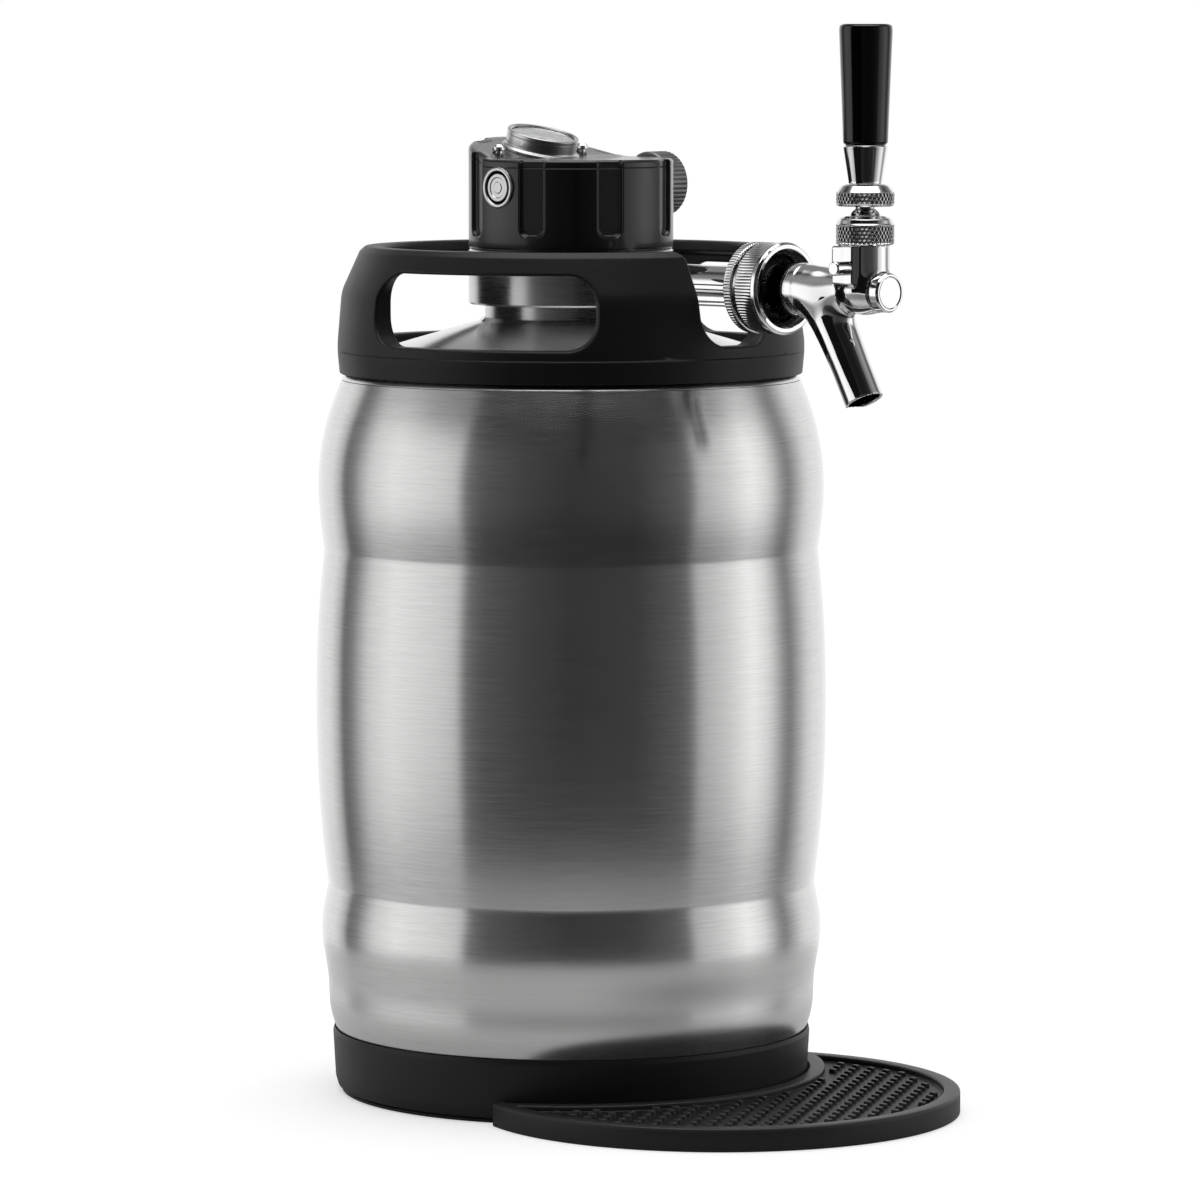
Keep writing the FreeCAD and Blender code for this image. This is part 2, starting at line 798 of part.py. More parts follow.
def regulator_body():
    """Brass body along X: gas chamber, piston bore, foot on the manifold and a socket for the gauge."""
    barrel = on_side(rod(regulator_r, regulator_inner_x, regulator_outer_x), RIGHT)
    foot = Part.makeBox(24, 12, side_axis_z - housing_z, V(-12, -6, housing_z))
    gauge_boss = Part.makeBox(14, 24, 12, V(-7, 0, side_axis_z - 6.5))
    body = barrel.fuse([foot, gauge_boss]).removeSplitter()
    body = body.cut(on_side(rod(regulator_bore, piston_x - 1.0, regulator_outer_x + 1), RIGHT))
    body = body.cut(on_side(rod(1.5, regulator_inner_x - 1, piston_x), RIGHT))
    gas_in = Part.makeCylinder(pierce_r + 0.3, side_axis_z - housing_z, V(-9, 0, housing_z))
    body = body.cut(gas_in)
    body = body.cut(on_gauge(rod(gauge_r + 0.5, -gauge_depth - 0.5, gauge_h)))
    return body.cut(on_gauge(rod(4.1, -gauge_depth - 3.6, gauge_h)))


def regulator_nut():
    """Cap nut that closes the spring chamber and carries the spindle's thread."""
    return on_side(lathe(
        (spindle_r + running_gap, regulator_outer_x - 3),
        (regulator_bore - weld_gap, regulator_outer_x - 3),
        (regulator_bore - weld_gap, regulator_outer_x + weld_gap),
        (regulator_r, regulator_outer_x + weld_gap),
        (regulator_r, regulator_outer_x + 4), (spindle_r + running_gap, regulator_outer_x + 4)), RIGHT)


def piston():
    crown = rod(regulator_bore - 0.25, piston_x, piston_x + piston_t)
    groove = pipe(regulator_bore, regulator_bore - 1.5, piston_x + 0.8, piston_x + 2.2)
    pin = rod(1.0, piston_x - 8, piston_x)
    return on_side(crown.cut(groove).fuse(pin).removeSplitter(), RIGHT)


def piston_o_ring():
    return on_side(pipe(regulator_bore - 0.1, regulator_bore - 1.45, piston_x + 0.85, piston_x + 2.15),
        RIGHT)


def regulator_spring():
    """Helical spring between the piston and its seat, with closed length between their faces."""
    low = piston_x + piston_t + 0.1
    high = seat_x - 0.1
    length = high - low - spring_wire
    helix = Part.makeHelix(length / spring_turns, length, spring_r)
    start = V(spring_r, 0, 0)
    section = Part.Wire([Part.makeCircle(spring_wire / 2, start, V(0, 1, 0))])
    coil = Part.Wire(helix.Edges).makePipeShell([section], True, True)
    coil.translate(V(0, 0, low + spring_wire / 2))
    return on_side(coil, RIGHT)


def spring_seat():
    """Nut plate that the spindle's thread draws along, away from the spring or on to it."""
    return on_side(pipe(regulator_bore - 0.3, spindle_r + running_gap, seat_x, seat_x + seat_t), RIGHT)


def knob_spindle():
    """Threaded spindle from the knob through the nut and the spring seat."""
    return on_side(rod(spindle_r, seat_x - 3.0, knob_outer_x - 3), RIGHT)


def regulator_knob():
    knob = lathe(
        (spindle_r + weld_gap, knob_inner_x), (knob_r - 1.0, knob_inner_x), (knob_r, knob_inner_x + 1.0),
        (knob_r, knob_outer_x - 1.2), (knob_r - 1.2, knob_outer_x), (0, knob_outer_x),
        (0, knob_outer_x - 2.9),
        (spindle_r + weld_gap, knob_outer_x - 2.9))
    return on_side(knob, RIGHT)


# Relief button


def relief_ring():
    back = head_r - 6
    return on_side(pipe(relief_ring_r, relief_ring_bore, back, relief_face_x), LEFT)


def relief_button():
    face = rod(relief_r, relief_face_x - relief_t, relief_face_x - 0.2)
    stem = rod(relief_stem_r, relief_stem_x, relief_face_x - relief_t)
    return on_side(face.fuse(stem).removeSplitter(), LEFT)


def relief_spring():
    """Return spring round the button's stem, in the valve block's pocket."""
    wire = 0.6
    high = relief_face_x - relief_t - 0.1
    low = relief_pocket_x + relief_travel + 0.1
    length = high - low - wire
    helix = Part.makeHelix(length / 6.0, length, relief_spring_r)
    section = Part.Wire([Part.makeCircle(wire / 2, V(relief_spring_r, 0, 0), V(0, 1, 0))])
    coil = Part.Wire(helix.Edges).makePipeShell([section], True, True)
    coil.translate(V(0, 0, low + wire / 2))
    return on_side(coil, LEFT)


def relief_valve():
    """Valve block on the end of the regulator, with a guide for the button's stem and a pocket for its spring."""
    block = rod(relief_block_r, -regulator_inner_x + weld_gap, relief_block_x)
    guide = rod(relief_stem_r + running_gap, relief_stem_x - relief_travel - 0.5, relief_block_x + 1)
    pocket = rod(relief_spring_r + 1.0, relief_pocket_x, relief_block_x + 1)
    return on_side(block.cut(guide).cut(pocket), LEFT)


# Tap


def shank():
    tube = fused(rod(shank_r, shank_root, washer_back), rod(boss_thread_r, ring_back + 0.6, washer_back))
    return on_tap(tube.cut(rod(shank_bore, shank_root - 1, washer_back + 1)))


def shank_lock_ring():
    ring = lathe(
        (shank_r + weld_gap, ring_back), (nut_r - 0.8, ring_back), (nut_r, ring_back + 0.8),
        (nut_r, ring_front - 0.5),
        (nut_r - 0.5, ring_front), (boss_thread_r + weld_gap, ring_front),
        (boss_thread_r + weld_gap, ring_back + 0.55),
        (shank_r + weld_gap, ring_back + 0.55))
    return on_tap(ring)


def coupling_nut():
    thread = boss_thread_r + thread_gap
    lip = flange_front + 0.1
    ring = lathe(
        (thread, nut_back), (nut_r - 0.6, nut_back), (nut_r, nut_back + 0.6), (nut_r, nut_rim),
        (nut_r - 0.9, nut_front), (nut_lip_r + 1.2, nut_front), (nut_lip_r + 0.6, nut_rim),
        (nut_lip_r, lip), (thread, lip))
    return on_tap(ring)


def shank_washer():
    return on_tap(pipe(boss_thread_r - 0.4, chamber_r, washer_back, washer_back + washer_t))


def spout_line():
    start = V(0, -spout_start, tap_z)
    end = V(0, -spout_tip, spout_tip_z)
    return start, end


def tail_passage():
    """Wedge through the tower in which the lever's tail swings."""
    half = tail_r + slack
    top = spigot_z + 1
    swing = math.tan(math.radians(lever_swing + 1.0))
    reach = half + 0.3 + (ball_z - tap_z) * swing
    outline = Part.makePolygon([
        V(-half, -tap_axis - half, top), V(-half, -tap_axis + half + (ball_z - top) * swing, top),
        V(-half, -tap_axis + reach, tap_z), V(-half, -tap_axis - half, tap_z),
            V(-half, -tap_axis - half, top)])
    return Part.Face(outline).extrude(V(2 * half, 0, 0))


def faucet_body():
    """One casting: rear flange and flare, horizontal barrel, tower, side boss and slanted spout, all bored."""
    flange_back = washer_back + washer_t
    rear = lathe(
        (0, flange_back), (boss_thread_r - 0.3, flange_back), (boss_thread_r - 0.3, flange_front),
        (flare_r, flange_front), ((flare_r - 3.4, flange_front + 4.5), (barrel_r, flare_front)),
        (0, flare_front))
    barrel = rod(barrel_r, flange_back + 1, plug_flange_back + 1)
    body = on_tap(rear.fuse(barrel))
    tower = lathe(
        (0, tower_foot_z), (tower_foot_r, tower_foot_z), (tower_r, tower_foot_z + tower_foot_rise),
        (tower_r, tower_top_z), (0, tower_top_z))
    tower.translate(V(0, -tap_axis, 0))
    start, end = spout_line()
    spout = rod_between(spout_r, start, end)
    boss = Part.makeBox(
        side_boss_x, 2 * side_boss_half, side_boss_high_z - side_boss_low_z,
        V(-side_boss_x, -tap_axis - side_boss_half, side_boss_low_z))
    spigot = Part.makeCylinder(bonnet_bore - weld_gap, spigot_z - tap_z, V(0, -tap_axis, tap_z))
    body = body.fuse([tower, spigot, spout, boss])
    chamber_front = flare_front - 1.0
    way = end.sub(start)
    way.normalize()
    bores = [
        on_tap(rod(chamber_r, flange_back - 1, chamber_front)),
        on_tap(rod(shank_bore, chamber_front - 1, plug_flange_back + 1)),
        on_tap(rod(plug_thread_r + weld_gap, tap_axis + 5, plug_flange_back + 1)),
        on_tap(rod(plug_r + weld_gap, plug_flange_back, plug_front + 1)),
        Part.makeSphere(ball_r + seat_gap, V(0, -tap_axis, ball_z)),
        tail_passage(),
        rod_between(throat_r, start, end),
        rod_between(spout_bore, end - way * 30, end + way),
        Part.makeCylinder(stop_pin_r - 0.5, 8, V(-side_boss_x - 1, -tap_axis, stop_pin_z), RIGHT),
    ]
    for bore in bores:
        body = body.cut(bore)
    return body.removeSplitter()


def stop_pin():
    inner = stop_pin_r - 0.5 - weld_gap
    head = Part.makeCylinder(stop_pin_r, stop_pin_len,
        V(-side_boss_x - stop_pin_len, -tap_axis, stop_pin_z), RIGHT)
    root = Part.makeCylinder(inner, 3.5, V(-side_boss_x, -tap_axis, stop_pin_z), RIGHT)
    return head.fuse(root).removeSplitter()


def front_plug():
    plug = lathe(
        (0, tap_axis + 6.5), (plug_thread_r, tap_axis + 6.5), (plug_thread_r, plug_flange_back),
        (plug_r, plug_flange_back), (plug_r, plug_front - 0.8), (plug_r - 0.8, plug_front),
        (plug_r - 1.6, plug_front),
        (plug_r - 1.8, plug_front - 0.4), (0, plug_front - 0.4))
    return on_tap(plug)


def valve_shaft():
    """Rod that the lever's tail pushes back off its seat, with a slot that the tail drops into."""
    back = flare_front - 1.0 - seat_washer_t
    shaft = fused(
        rod(shaft_r, back - 1.5, shaft_front), rod(4.0, back - 1.5, back - 0.05),
        rod(shank_bore - 0.1, tap_axis - 5, shaft_front))
    slot = Part.makeBox(2 * (tail_r + 0.2), 6.4, 20, V(-tail_r - 0.2, -tap_axis - 3.2, tap_z - 10))
    return on_tap(shaft).cut(slot)


def seat_washer():
    back = flare_front - 1.0 - seat_washer_t
    return on_tap(pipe(seat_washer_r, shaft_r + weld_gap, back, back + seat_washer_t - 0.1))


def bonnet():
    """Knurled cap that holds the lever's ball down in the tower."""
    seat_h = math.sqrt((ball_r + running_gap) ** 2 - bonnet_hole_r ** 2)
    inner = bonnet_bore
    low = tower_top_z + weld_gap
    cap = lathe(
        (inner, low), (bonnet_r, low), (bonnet_r, bonnet_knurl_z),
        ((bonnet_r - 1.1, bonnet_knurl_z + 1.9), (bonnet_r - 3.3, bonnet_top_z)),
        (bonnet_hole_r, bonnet_top_z),
        (bonnet_hole_r, ball_z + seat_h), (inner, ball_z + 1.0))
    cap.translate(V(0, -tap_axis, 0))
    ball_room = Part.makeSphere(ball_r + running_gap, V(0, -tap_axis, ball_z))
    return cap.cut(ball_room)


def ball_seat():
    """Nylon cup under the ball."""
    ring = pipe(bonnet_bore - weld_gap, 4.6, spigot_z + weld_gap, ball_z - 1.5)
    ring.translate(V(0, -tap_axis, 0))
    return ring.cut(Part.makeSphere(ball_r + running_gap, V(0, -tap_axis, ball_z)))


def lever():
    """Steel lever: handle stud, stem, ball and tail in one piece."""
    ball = Part.makeSphere(ball_r, ORIGIN)
    stem = rod(stem_r, 0, collar_low_z + 2.5 - ball_z)
    stud = rod(stud_r, 0, stud_top_z - ball_z)
    tail_len = ball_z - tap_z
    tail = rod(tail_r, -tail_len, 0)
    tip = Part.makeSphere(tail_r, V(0, 0, -tail_len))
    whole = fused(ball, stem, stud, tail, tip)
    whole.translate(V(0, -tap_axis, ball_z))
    return whole


def lever_collar():
    ring = lathe(
        (stud_r + weld_gap, collar_low_z + 2.5 + weld_gap),
        (stem_r + weld_gap, collar_low_z + 2.5 + weld_gap),
        (stem_r + weld_gap, collar_low_z), (lever_collar_r - 0.7, collar_low_z),
        (lever_collar_r, collar_low_z + 0.7), (lever_collar_r, collar_knurl_z),
        (collar_neck_r, collar_neck_z - 0.6),
        (collar_neck_r - 0.6, collar_neck_z), (stud_r + weld_gap, collar_neck_z))
    ring.translate(V(0, -tap_axis, 0))
    return ring


def ferrule():
    low = collar_neck_z
    cone = lathe(
        (stud_r + weld_gap, low), (ferrule_low_r, low), (ferrule_high_r - 0.1, ferrule_top_z - 1.2),
        (ferrule_high_r, ferrule_top_z), (stud_r + weld_gap, ferrule_top_z))
    cone.translate(V(0, -tap_axis, 0))
    return cone


def grip():
    handle = lathe(
        (stud_r + weld_gap, grip_low - 0.5), (grip_low_r - 0.7, grip_low - 0.5),
        (grip_low_r - 0.7, grip_low),
        (grip_low_r, grip_low + 0.4), (grip_top_r, grip_top - grip_round - 1.0),
        ((grip_top_r - 0.35, grip_top - 0.8), (grip_top_r - grip_round, grip_top - 0.2)), (0, grip_top),
        (0, stud_top_z + 0.2), (stud_r + weld_gap, stud_top_z + 0.2))
    handle.translate(V(0, -tap_axis, 0))
    return handle


NODES = {
    "boot": boot,
    "outer_barrel": outer_barrel,
    "outer_shoulder": outer_shoulder,
    "base_plate": base_plate,
    "inner_vessel": inner_vessel,
    "keg_neck": keg_neck,
    "handle_collar": handle_collar,
    "drip_mat": drip_mat,
    "manifold": manifold,
    "neck_gasket": neck_gasket,
    "plug_o_ring": plug_o_ring,
    "dip_tube": dip_tube,
    "check_valve": check_valve,
    "piercing_pin": piercing_pin,
    "piercing_seal": piercing_seal,
    "co2_sleeve": co2_sleeve,
    "co2_cartridge": co2_cartridge,
    "housing": housing,
    "housing_screws": housing_screws,
    "gauge_case": gauge_case,
    "gauge_bezel": gauge_bezel,
    "gauge_dial": gauge_dial,
    "gauge_glass": gauge_glass,
    "gauge_needle": gauge_needle,
    "bourdon_tube": bourdon_tube,
    "gauge_stem": gauge_stem,
    "regulator_body": regulator_body,
    "regulator_nut": regulator_nut,
    "piston": piston,
    "piston_o_ring": piston_o_ring,
    "regulator_spring": regulator_spring,
    "spring_seat": spring_seat,
    "knob_spindle": knob_spindle,
    "regulator_knob": regulator_knob,
    "relief_ring": relief_ring,
    "relief_button": relief_button,
    "relief_spring": relief_spring,
    "relief_valve": relief_valve,
    "shank": shank,
    "shank_lock_ring": shank_lock_ring,
    "coupling_nut": coupling_nut,
    "shank_washer": shank_washer,
    "faucet_body": faucet_body,
    "front_plug": front_plug,
    "stop_pin": stop_pin,
    "valve_shaft": valve_shaft,
    "seat_washer": seat_washer,
    "bonnet": bonnet,
    "ball_seat": ball_seat,
    "lever": lever,
    "lever_collar": lever_collar,
    "ferrule": ferrule,
    "grip": grip,
}


def main():
    os.makedirs("parts", exist_ok=True)
    for node, make in NODES.items():
        save(node, make())


main()
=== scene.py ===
import math
import bmesh
import bpy
import numpy as np
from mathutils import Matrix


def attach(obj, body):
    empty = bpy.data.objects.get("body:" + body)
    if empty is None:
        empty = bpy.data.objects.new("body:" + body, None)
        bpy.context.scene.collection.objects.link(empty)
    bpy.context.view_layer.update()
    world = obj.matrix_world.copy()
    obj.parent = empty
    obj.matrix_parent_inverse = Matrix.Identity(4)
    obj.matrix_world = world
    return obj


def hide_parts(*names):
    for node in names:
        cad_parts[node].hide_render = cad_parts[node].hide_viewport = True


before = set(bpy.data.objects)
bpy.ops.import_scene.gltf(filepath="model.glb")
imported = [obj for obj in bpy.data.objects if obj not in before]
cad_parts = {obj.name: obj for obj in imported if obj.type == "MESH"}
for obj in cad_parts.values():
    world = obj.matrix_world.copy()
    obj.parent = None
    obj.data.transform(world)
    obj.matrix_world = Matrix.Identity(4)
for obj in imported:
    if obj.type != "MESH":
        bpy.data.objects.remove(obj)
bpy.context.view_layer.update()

# Looks of the mini keg drink dispenser. Shapes are worked out in millimetres and set into the frame in metres.
# The tap points to -Y, the regulator knob to +X and the relief button to -X.

MM = 0.001
TURN = 2 * math.pi
DIAGONAL = 0.70711                      # cosine of 45 degrees: the lights are laid out about the camera's side
JOIN_CELL = 1e-4                        # points this close become one

# Tap: heights of its line and of the lever's ball, and distance of its upright axis
TAP_Z = 303.5
TAP_AXIS = 148.1
LEVER_BALL_Z = 327.2
LEVER_BALL_R = 6.8
KNURL_TEETH = 40
KNURL_DEPTH = 0.7
STOP_PIN_Z = 312.2

# Head: height of the knob and button, the gauge's place and tilt, the housing's radius, feet and flat roof
SIDE_Z = 338.5
GAUGE_PLACE = (0.0, 16.3, 351.0)
GAUGE_TILT = math.radians(14.4)
HEAD_R = 38.1
HOUSING_FOOT_Z = 315.45
HOUSING_WALL_Z = 316.35
HOUSING_RIM_ROUND = 1.5
HOUSING_INNER_R = 34.6
ROOF_Z = 348.8
RAMP_START_Y = 7.6
RECESS_R = 36.1
RECESS_FOOT_Z = 323.9
RECESS_CORNER = 3.5
INK_LOW, INK_HIGH = 3.18, 3.24          # printed layer over the dial

# Handle collar: radius that its arc lengths are taken on, the heights between which its wall runs, its top, the
# rounding of its edges, the points of its grids, and its openings
COLLAR_SPAN = 86.0
COLLAR_LOW = 277.4
COLLAR_HIGH = 309.8
COLLAR_TOP = 316.35
EDGE_ROUND = 1.1
SECTOR_COLUMNS, SECTOR_ROWS, SHEET_ROWS = 74, 26, 12
SLOT_CORNER = 11.2
SLOT_RUN = math.radians(31.5) * COLLAR_SPAN
SLOT_RISE = 13.35
SLOT_MIDDLE = 294.65
NOTCH_COLUMNS = 30
NOTCH_REACH = math.radians(20) * COLLAR_SPAN
NOTCH_WIDTH = 17.0
NOTCH_MOUTH = 4.0
NOTCH_CORNER = 11.0
NOTCH_FLOOR = 281.9

# Drip mat: radius and middle of its arc, where its horns end, its rim, height and field, and its studs
MAT_R = 89.4
MAT_Y = 76.0
MAT_HORN = -42.5
MAT_RIM = 6.0
MAT_H = 8.5
MAT_FIELD = 6.4
STUD_PITCH = (6.3, 7.7)
STUD_HALF = (0.95, 1.6)
STUD_CORNER = 0.35


# Working out shapes


def smooth_step(x, low, high):
    """0 below low, 1 above high, and the cubic 3s^2 - 2s^3 between them."""
    s = np.clip((x - low) / (high - low), 0, 1)
    return s * s * (3 - 2 * s)


def rounded(corners, steps=6):
    """Closed outline from (r, z, radius) corners. Each corner is a true arc: the rational quadratic curve between its
    two tangent points, weighted by the sine of half the corner's angle, with a support point on either side."""
    corners = np.array(corners, float)
    tip, radius = corners[:, :2], corners[:, 2:]
    before = np.roll(tip, 1, axis=0) - tip
    after = np.roll(tip, -1, axis=0) - tip
    long_before = np.linalg.norm(before, axis=1, keepdims=True)
    long_after = np.linalg.norm(after, axis=1, keepdims=True)
    before, after = before / long_before, after / long_after
    half = np.arccos(np.clip((before * after).sum(1, keepdims=True), -1, 1)) / 2
    reach = np.minimum(radius / np.tan(half), 0.38 * np.minimum(long_before, long_after))
    start, end = tip + reach * before, tip + reach * after
    s = np.linspace(0, 1, steps)[None, :, None]
    weights = [(1 - s) ** 2, 2 * np.sin(half)[:, None] * s * (1 - s), s ** 2]
    arc = sum(w * p[:, None] for w, p in zip(weights, (start, tip, end))) / sum(weights)
    lead, tail = start + 0.3 * reach * before, end + 0.3 * reach * after
    return np.concatenate([lead[:, None], arc, tail[:, None]], axis=1).reshape(-1, 2)


def smooth_curve(points, count):
    """Natural cubic spline through points, by chord length: the second slopes solve the tridiagonal system that makes
    slope and curvature run on through each point."""
    points = np.array(points, float)
    knot = np.concatenate([[0], np.cumsum(np.linalg.norm(np.diff(points, axis=0), axis=1))])
    gap = np.diff(knot)
    n = len(points)
    system, right = np.eye(n), np.zeros((n, 2))
    inner = np.arange(1, n - 1)
    system[inner, inner - 1] = gap[:-1]
    system[inner, inner] = 2 * (gap[:-1] + gap[1:])
    system[inner, inner + 1] = gap[1:]
    rise = np.diff(points, axis=0) / gap[:, None]
    right[1:-1] = 6 * np.diff(rise, axis=0)
    bend = np.linalg.solve(system, right)
    t = np.linspace(0, knot[-1], count)
    k = np.clip(np.searchsorted(knot, t, side="right") - 1, 0, n - 2)
    a, b, g = (knot[k + 1] - t)[:, None], (t - knot[k])[:, None], gap[k][:, None]
    cubic = (bend[k] * a ** 3 + bend[k + 1] * b ** 3) / (6 * g)
    return cubic + (points[k] / g - bend[k] * g / 6) * a + (points[k + 1] / g - bend[k + 1] * g / 6) * b


def turned(outline, segments=256):
    """Outline of (r, z) carried round Z: the point at angle a is (r cos a, r sin a, z)."""
    angle = np.arange(segments) * TURN / segments
    r, z = outline[:, 0], outline[:, 1]
    height = np.broadcast_to(z, (segments, len(z)))
    return np.stack([np.outer(np.cos(angle), r), np.outer(np.sin(angle), r), height], axis=-1)


def on_tap_line(p):
    """A shape about +Z is laid along the tap, so that its height runs forwards from the keg's axis."""
    return np.stack([p[..., 0], -p[..., 2], p[..., 1] + TAP_Z], axis=-1)


def on_tap_axis(p):
    """A shape about Z is moved forwards onto the tap's upright axis."""
    return p + np.array([0, -TAP_AXIS, 0])


def on_right(p):
    """A shape about +Z is laid along +X at the height of the knob."""
    return np.stack([p[..., 2], p[..., 0], p[..., 1] + SIDE_Z], axis=-1)


def on_left(p):
    """A shape about +Z is laid along -X at the height of the relief button."""
    return np.stack([-p[..., 2], -p[..., 0], p[..., 1] + SIDE_Z], axis=-1)


def on_gauge(p):
    """Turned about X by the gauge's tilt, then moved to the gauge's place."""
    c, s = math.cos(GAUGE_TILT), math.sin(GAUGE_TILT)
    x, y, z = p[..., 0], p[..., 1], p[..., 2]
    return np.stack([x, c * y - s * z, s * y + c * z], axis=-1) + np.array(GAUGE_PLACE)


def on_boss(p):
    """A shape about +Z is laid along -X through the tap's side boss."""
    return np.stack([-p[..., 2], p[..., 1] - TAP_AXIS, p[..., 0] + STOP_PIN_Z], axis=-1)


def stay(p):
    """The shape stays where it is worked out."""
    return p


class Piece:
    """One piece's mesh, gathered as whole arrays of points and of four-sided faces."""

    def __init__(self, name):
        self.name = name
        self.points = []
        self.faces = []
        self.total = 0

    def add(self, points, faces):
        """Adds points and the faces between them."""
        self.points.append(points)
        self.faces.append(faces + self.total)
        self.total += len(points)
        return self

    def grid(self, points, around=True, closed=True):
        """Adds a grid of points (rows, columns, 3), or a stack of such grids. The first direction joins up when around
        is set, and the second when closed is set."""
        points = points if points.ndim == 4 else points[None]
        m, nu, nv = points.shape[:3]
        index = np.arange(m * nu * nv).reshape(m, nu, nv)
        if around:
            index = np.concatenate([index, index[:, :1]], axis=1)
        if closed:
            index = np.concatenate([index, index[:, :, :1]], axis=2)
        quads = np.stack([index[:, :-1, :-1], index[:, 1:, :-1], index[:, 1:, 1:], index[:, :-1, 1:]], axis=-1)
        return self.add(points.reshape(-1, 3), quads.reshape(-1, 4))

    def lathe(self, corners, segments=256, steps=6, place=stay):
        """Adds the rounded outline of the corners, turned round Z and put in its place."""
        return self.grid(place(turned(rounded(corners, steps), segments)))

    def joined(self):
        """Points that coincide become one, faces that shrink to a line go, and one with a doubled corner becomes a
        triangle."""
        points = np.concatenate(self.points)
        faces = np.concatenate(self.faces)
        cell = np.floor(points / JOIN_CELL + 0.37).astype(np.int64)
        first, inverse = np.unique(cell, axis=0, return_index=True, return_inverse=True)[1:]
        points, faces = points[first], inverse.reshape(-1)[faces]
        doubled = faces == np.roll(faces, -1, axis=1)
        count = doubled.sum(1)
        across = (faces[:, 0] == faces[:, 2]) | (faces[:, 1] == faces[:, 3])
        quads = faces[(count == 0) & ~across]
        thin = (count == 1) & ~across
        corner = doubled[thin].argmax(1)
        threes = faces[thin][np.arange(thin.sum())[:, None], (corner[:, None] + [1, 2, 3]) % 4]
        used, packed = np.unique(np.concatenate([quads.ravel(), threes.ravel()]), return_inverse=True)
        cut = quads.size
        return points[used], packed[:cut].reshape(-1, 4), packed[cut:].reshape(-1, 3)

    def linked(self, finish):
        """The gathered mesh as an object of the scene, in metres and with its material."""
        points, quads, threes = self.joined()
        mesh = bpy.data.meshes.new(self.name)
        mesh.from_pydata((points * MM).tolist(), [], quads.tolist() + threes.tolist())
        mesh.materials.append(finish)
        thing = bpy.data.objects.new(self.name, mesh)
        bpy.context.scene.collection.objects.link(thing)
        return thing

    def made(self, finish, body, nodes=(), slot=None, sharp=32):
        """The finished piece: faces outward, edges over the angle sharp, set on its body and the nodes it replaces
        hidden. The slot is not used.
        """
        thing = self.linked(finish)
        mesh = thing.data
        work = bmesh.new()
        work.from_mesh(mesh)
        bmesh.ops.recalc_face_normals(work, faces=work.faces)
        work.to_mesh(mesh)
        work.free()
        mesh.shade_smooth()
        mesh.set_sharp_from_angle(angle=math.radians(sharp))
        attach(thing, body)
        if nodes:
            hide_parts(*nodes)
        return thing


# Shader maths


class Wire:
    """A socket of a node tree. Arithmetic on it adds the Math nodes for the expression."""

    def __init__(self, bench, socket):
        self.bench = bench
        self.socket = socket

    def _maths(self, operation, *values):
        return self.bench.node("ShaderNodeMath", {"operation": operation}, dict(enumerate(values)))

    def __add__(self, other):
        return self._maths("ADD", self, other)

    def __sub__(self, other):
        return self._maths("SUBTRACT", self, other)

    def __rsub__(self, other):
        return self._maths("SUBTRACT", other, self)

    def __mul__(self, other):
        return self._maths("MULTIPLY", self, other)

    def __truediv__(self, other):
        return self._maths("DIVIDE", self, other)

    __radd__ = __add__
    __rmul__ = __mul__

    def of(self, operation, *others):
        """Any other Math node on the value."""
        return self._maths(operation, self, *others)

    def between(self, low, high, to_low=0.0, to_high=1.0):
        """Smooth step of the value from low to high, carried to another range."""
        return self.bench.node("ShaderNodeMapRange", {"interpolation_type": "SMOOTHSTEP"}, {
            "Value": self, "From Min": low, "From Max": high, "To Min": to_low, "To Max": to_high}, "Result")


class Bench:
    """A material's or the world's nodes."""

    def __init__(self, owner):
        owner.use_nodes = True
        self.owner = owner
        self.tree = owner.node_tree
        self.tree.nodes.clear()

    def node(self, kind, settings=None, sockets=None, out=0):
        """Adds any node: its settings first, a ramp's stops among them, then the values and links of its sockets."""
        made = self.tree.nodes.new(kind)
        for key, value in (settings or {}).items():
            if key == "stops":
                ramp = made.color_ramp.elements
                while len(ramp) < len(value):
                    ramp.new(0.5)
                for stop, (place, colour) in zip(ramp, value):
                    stop.position = place
                    stop.color = colour
            else:
                setattr(made, key, value)
        for key, value in (sockets or {}).items():
            if isinstance(value, Wire):
                self.tree.links.new(value.socket, made.inputs[key])
            else:
                made.inputs[key].default_value = value
        return Wire(self, made.outputs[out]) if made.outputs else made

    def place(self):
        """The point on the object, in metres."""
        return self.node("ShaderNodeTexCoord", out="Object")

    def split(self, vector):
        """The three parts of a vector."""
        made = self.node("ShaderNodeSeparateXYZ", sockets={0: vector}).socket.node
        return [Wire(self, made.outputs[axis]) for axis in "XYZ"]

    def joined(self, x, y, z):
        """A vector of three parts."""
        return self.node("ShaderNodeCombineXYZ", sockets={"X": x, "Y": y, "Z": z})

    def noise(self, vector, scale, detail=2.0, roughness=0.5):
        """Soft noise from 0 to 1 at a vector, with so many patches to the metre."""
        return self.node("ShaderNodeTexNoise", sockets={
            "Vector": vector, "Scale": scale, "Detail": detail, "Roughness": roughness}, out="Fac")

    def tint(self, amount, low, high):
        """Colour mixed from low to high. Either is three numbers or a wire."""
        low, high = [end if isinstance(end, Wire) else (*end, 1) for end in (low, high)]
        return self.node("ShaderNodeMix", {"data_type": "RGBA"}, {0: amount, 6: low, 7: high}, out=2)

    def bump(self, height, distance, strength=1.0):
        """Normal of a surface raised by height times a distance in metres."""
        return self.node("ShaderNodeBump", sockets={"Height": height, "Distance": distance, "Strength": strength})

    def surface(self, **sockets):
        """Principled shader to the output. Names have spaces in place of underscores."""
        shader = self.node("ShaderNodeBsdfPrincipled", sockets={k.replace("_", " "): v for k, v in sockets.items()})
        self.node("ShaderNodeOutputMaterial", sockets={"Surface": shader})
        return self.owner


def bench(name):
    """Nodes of a new material."""
    return Bench(bpy.data.materials.new(name))


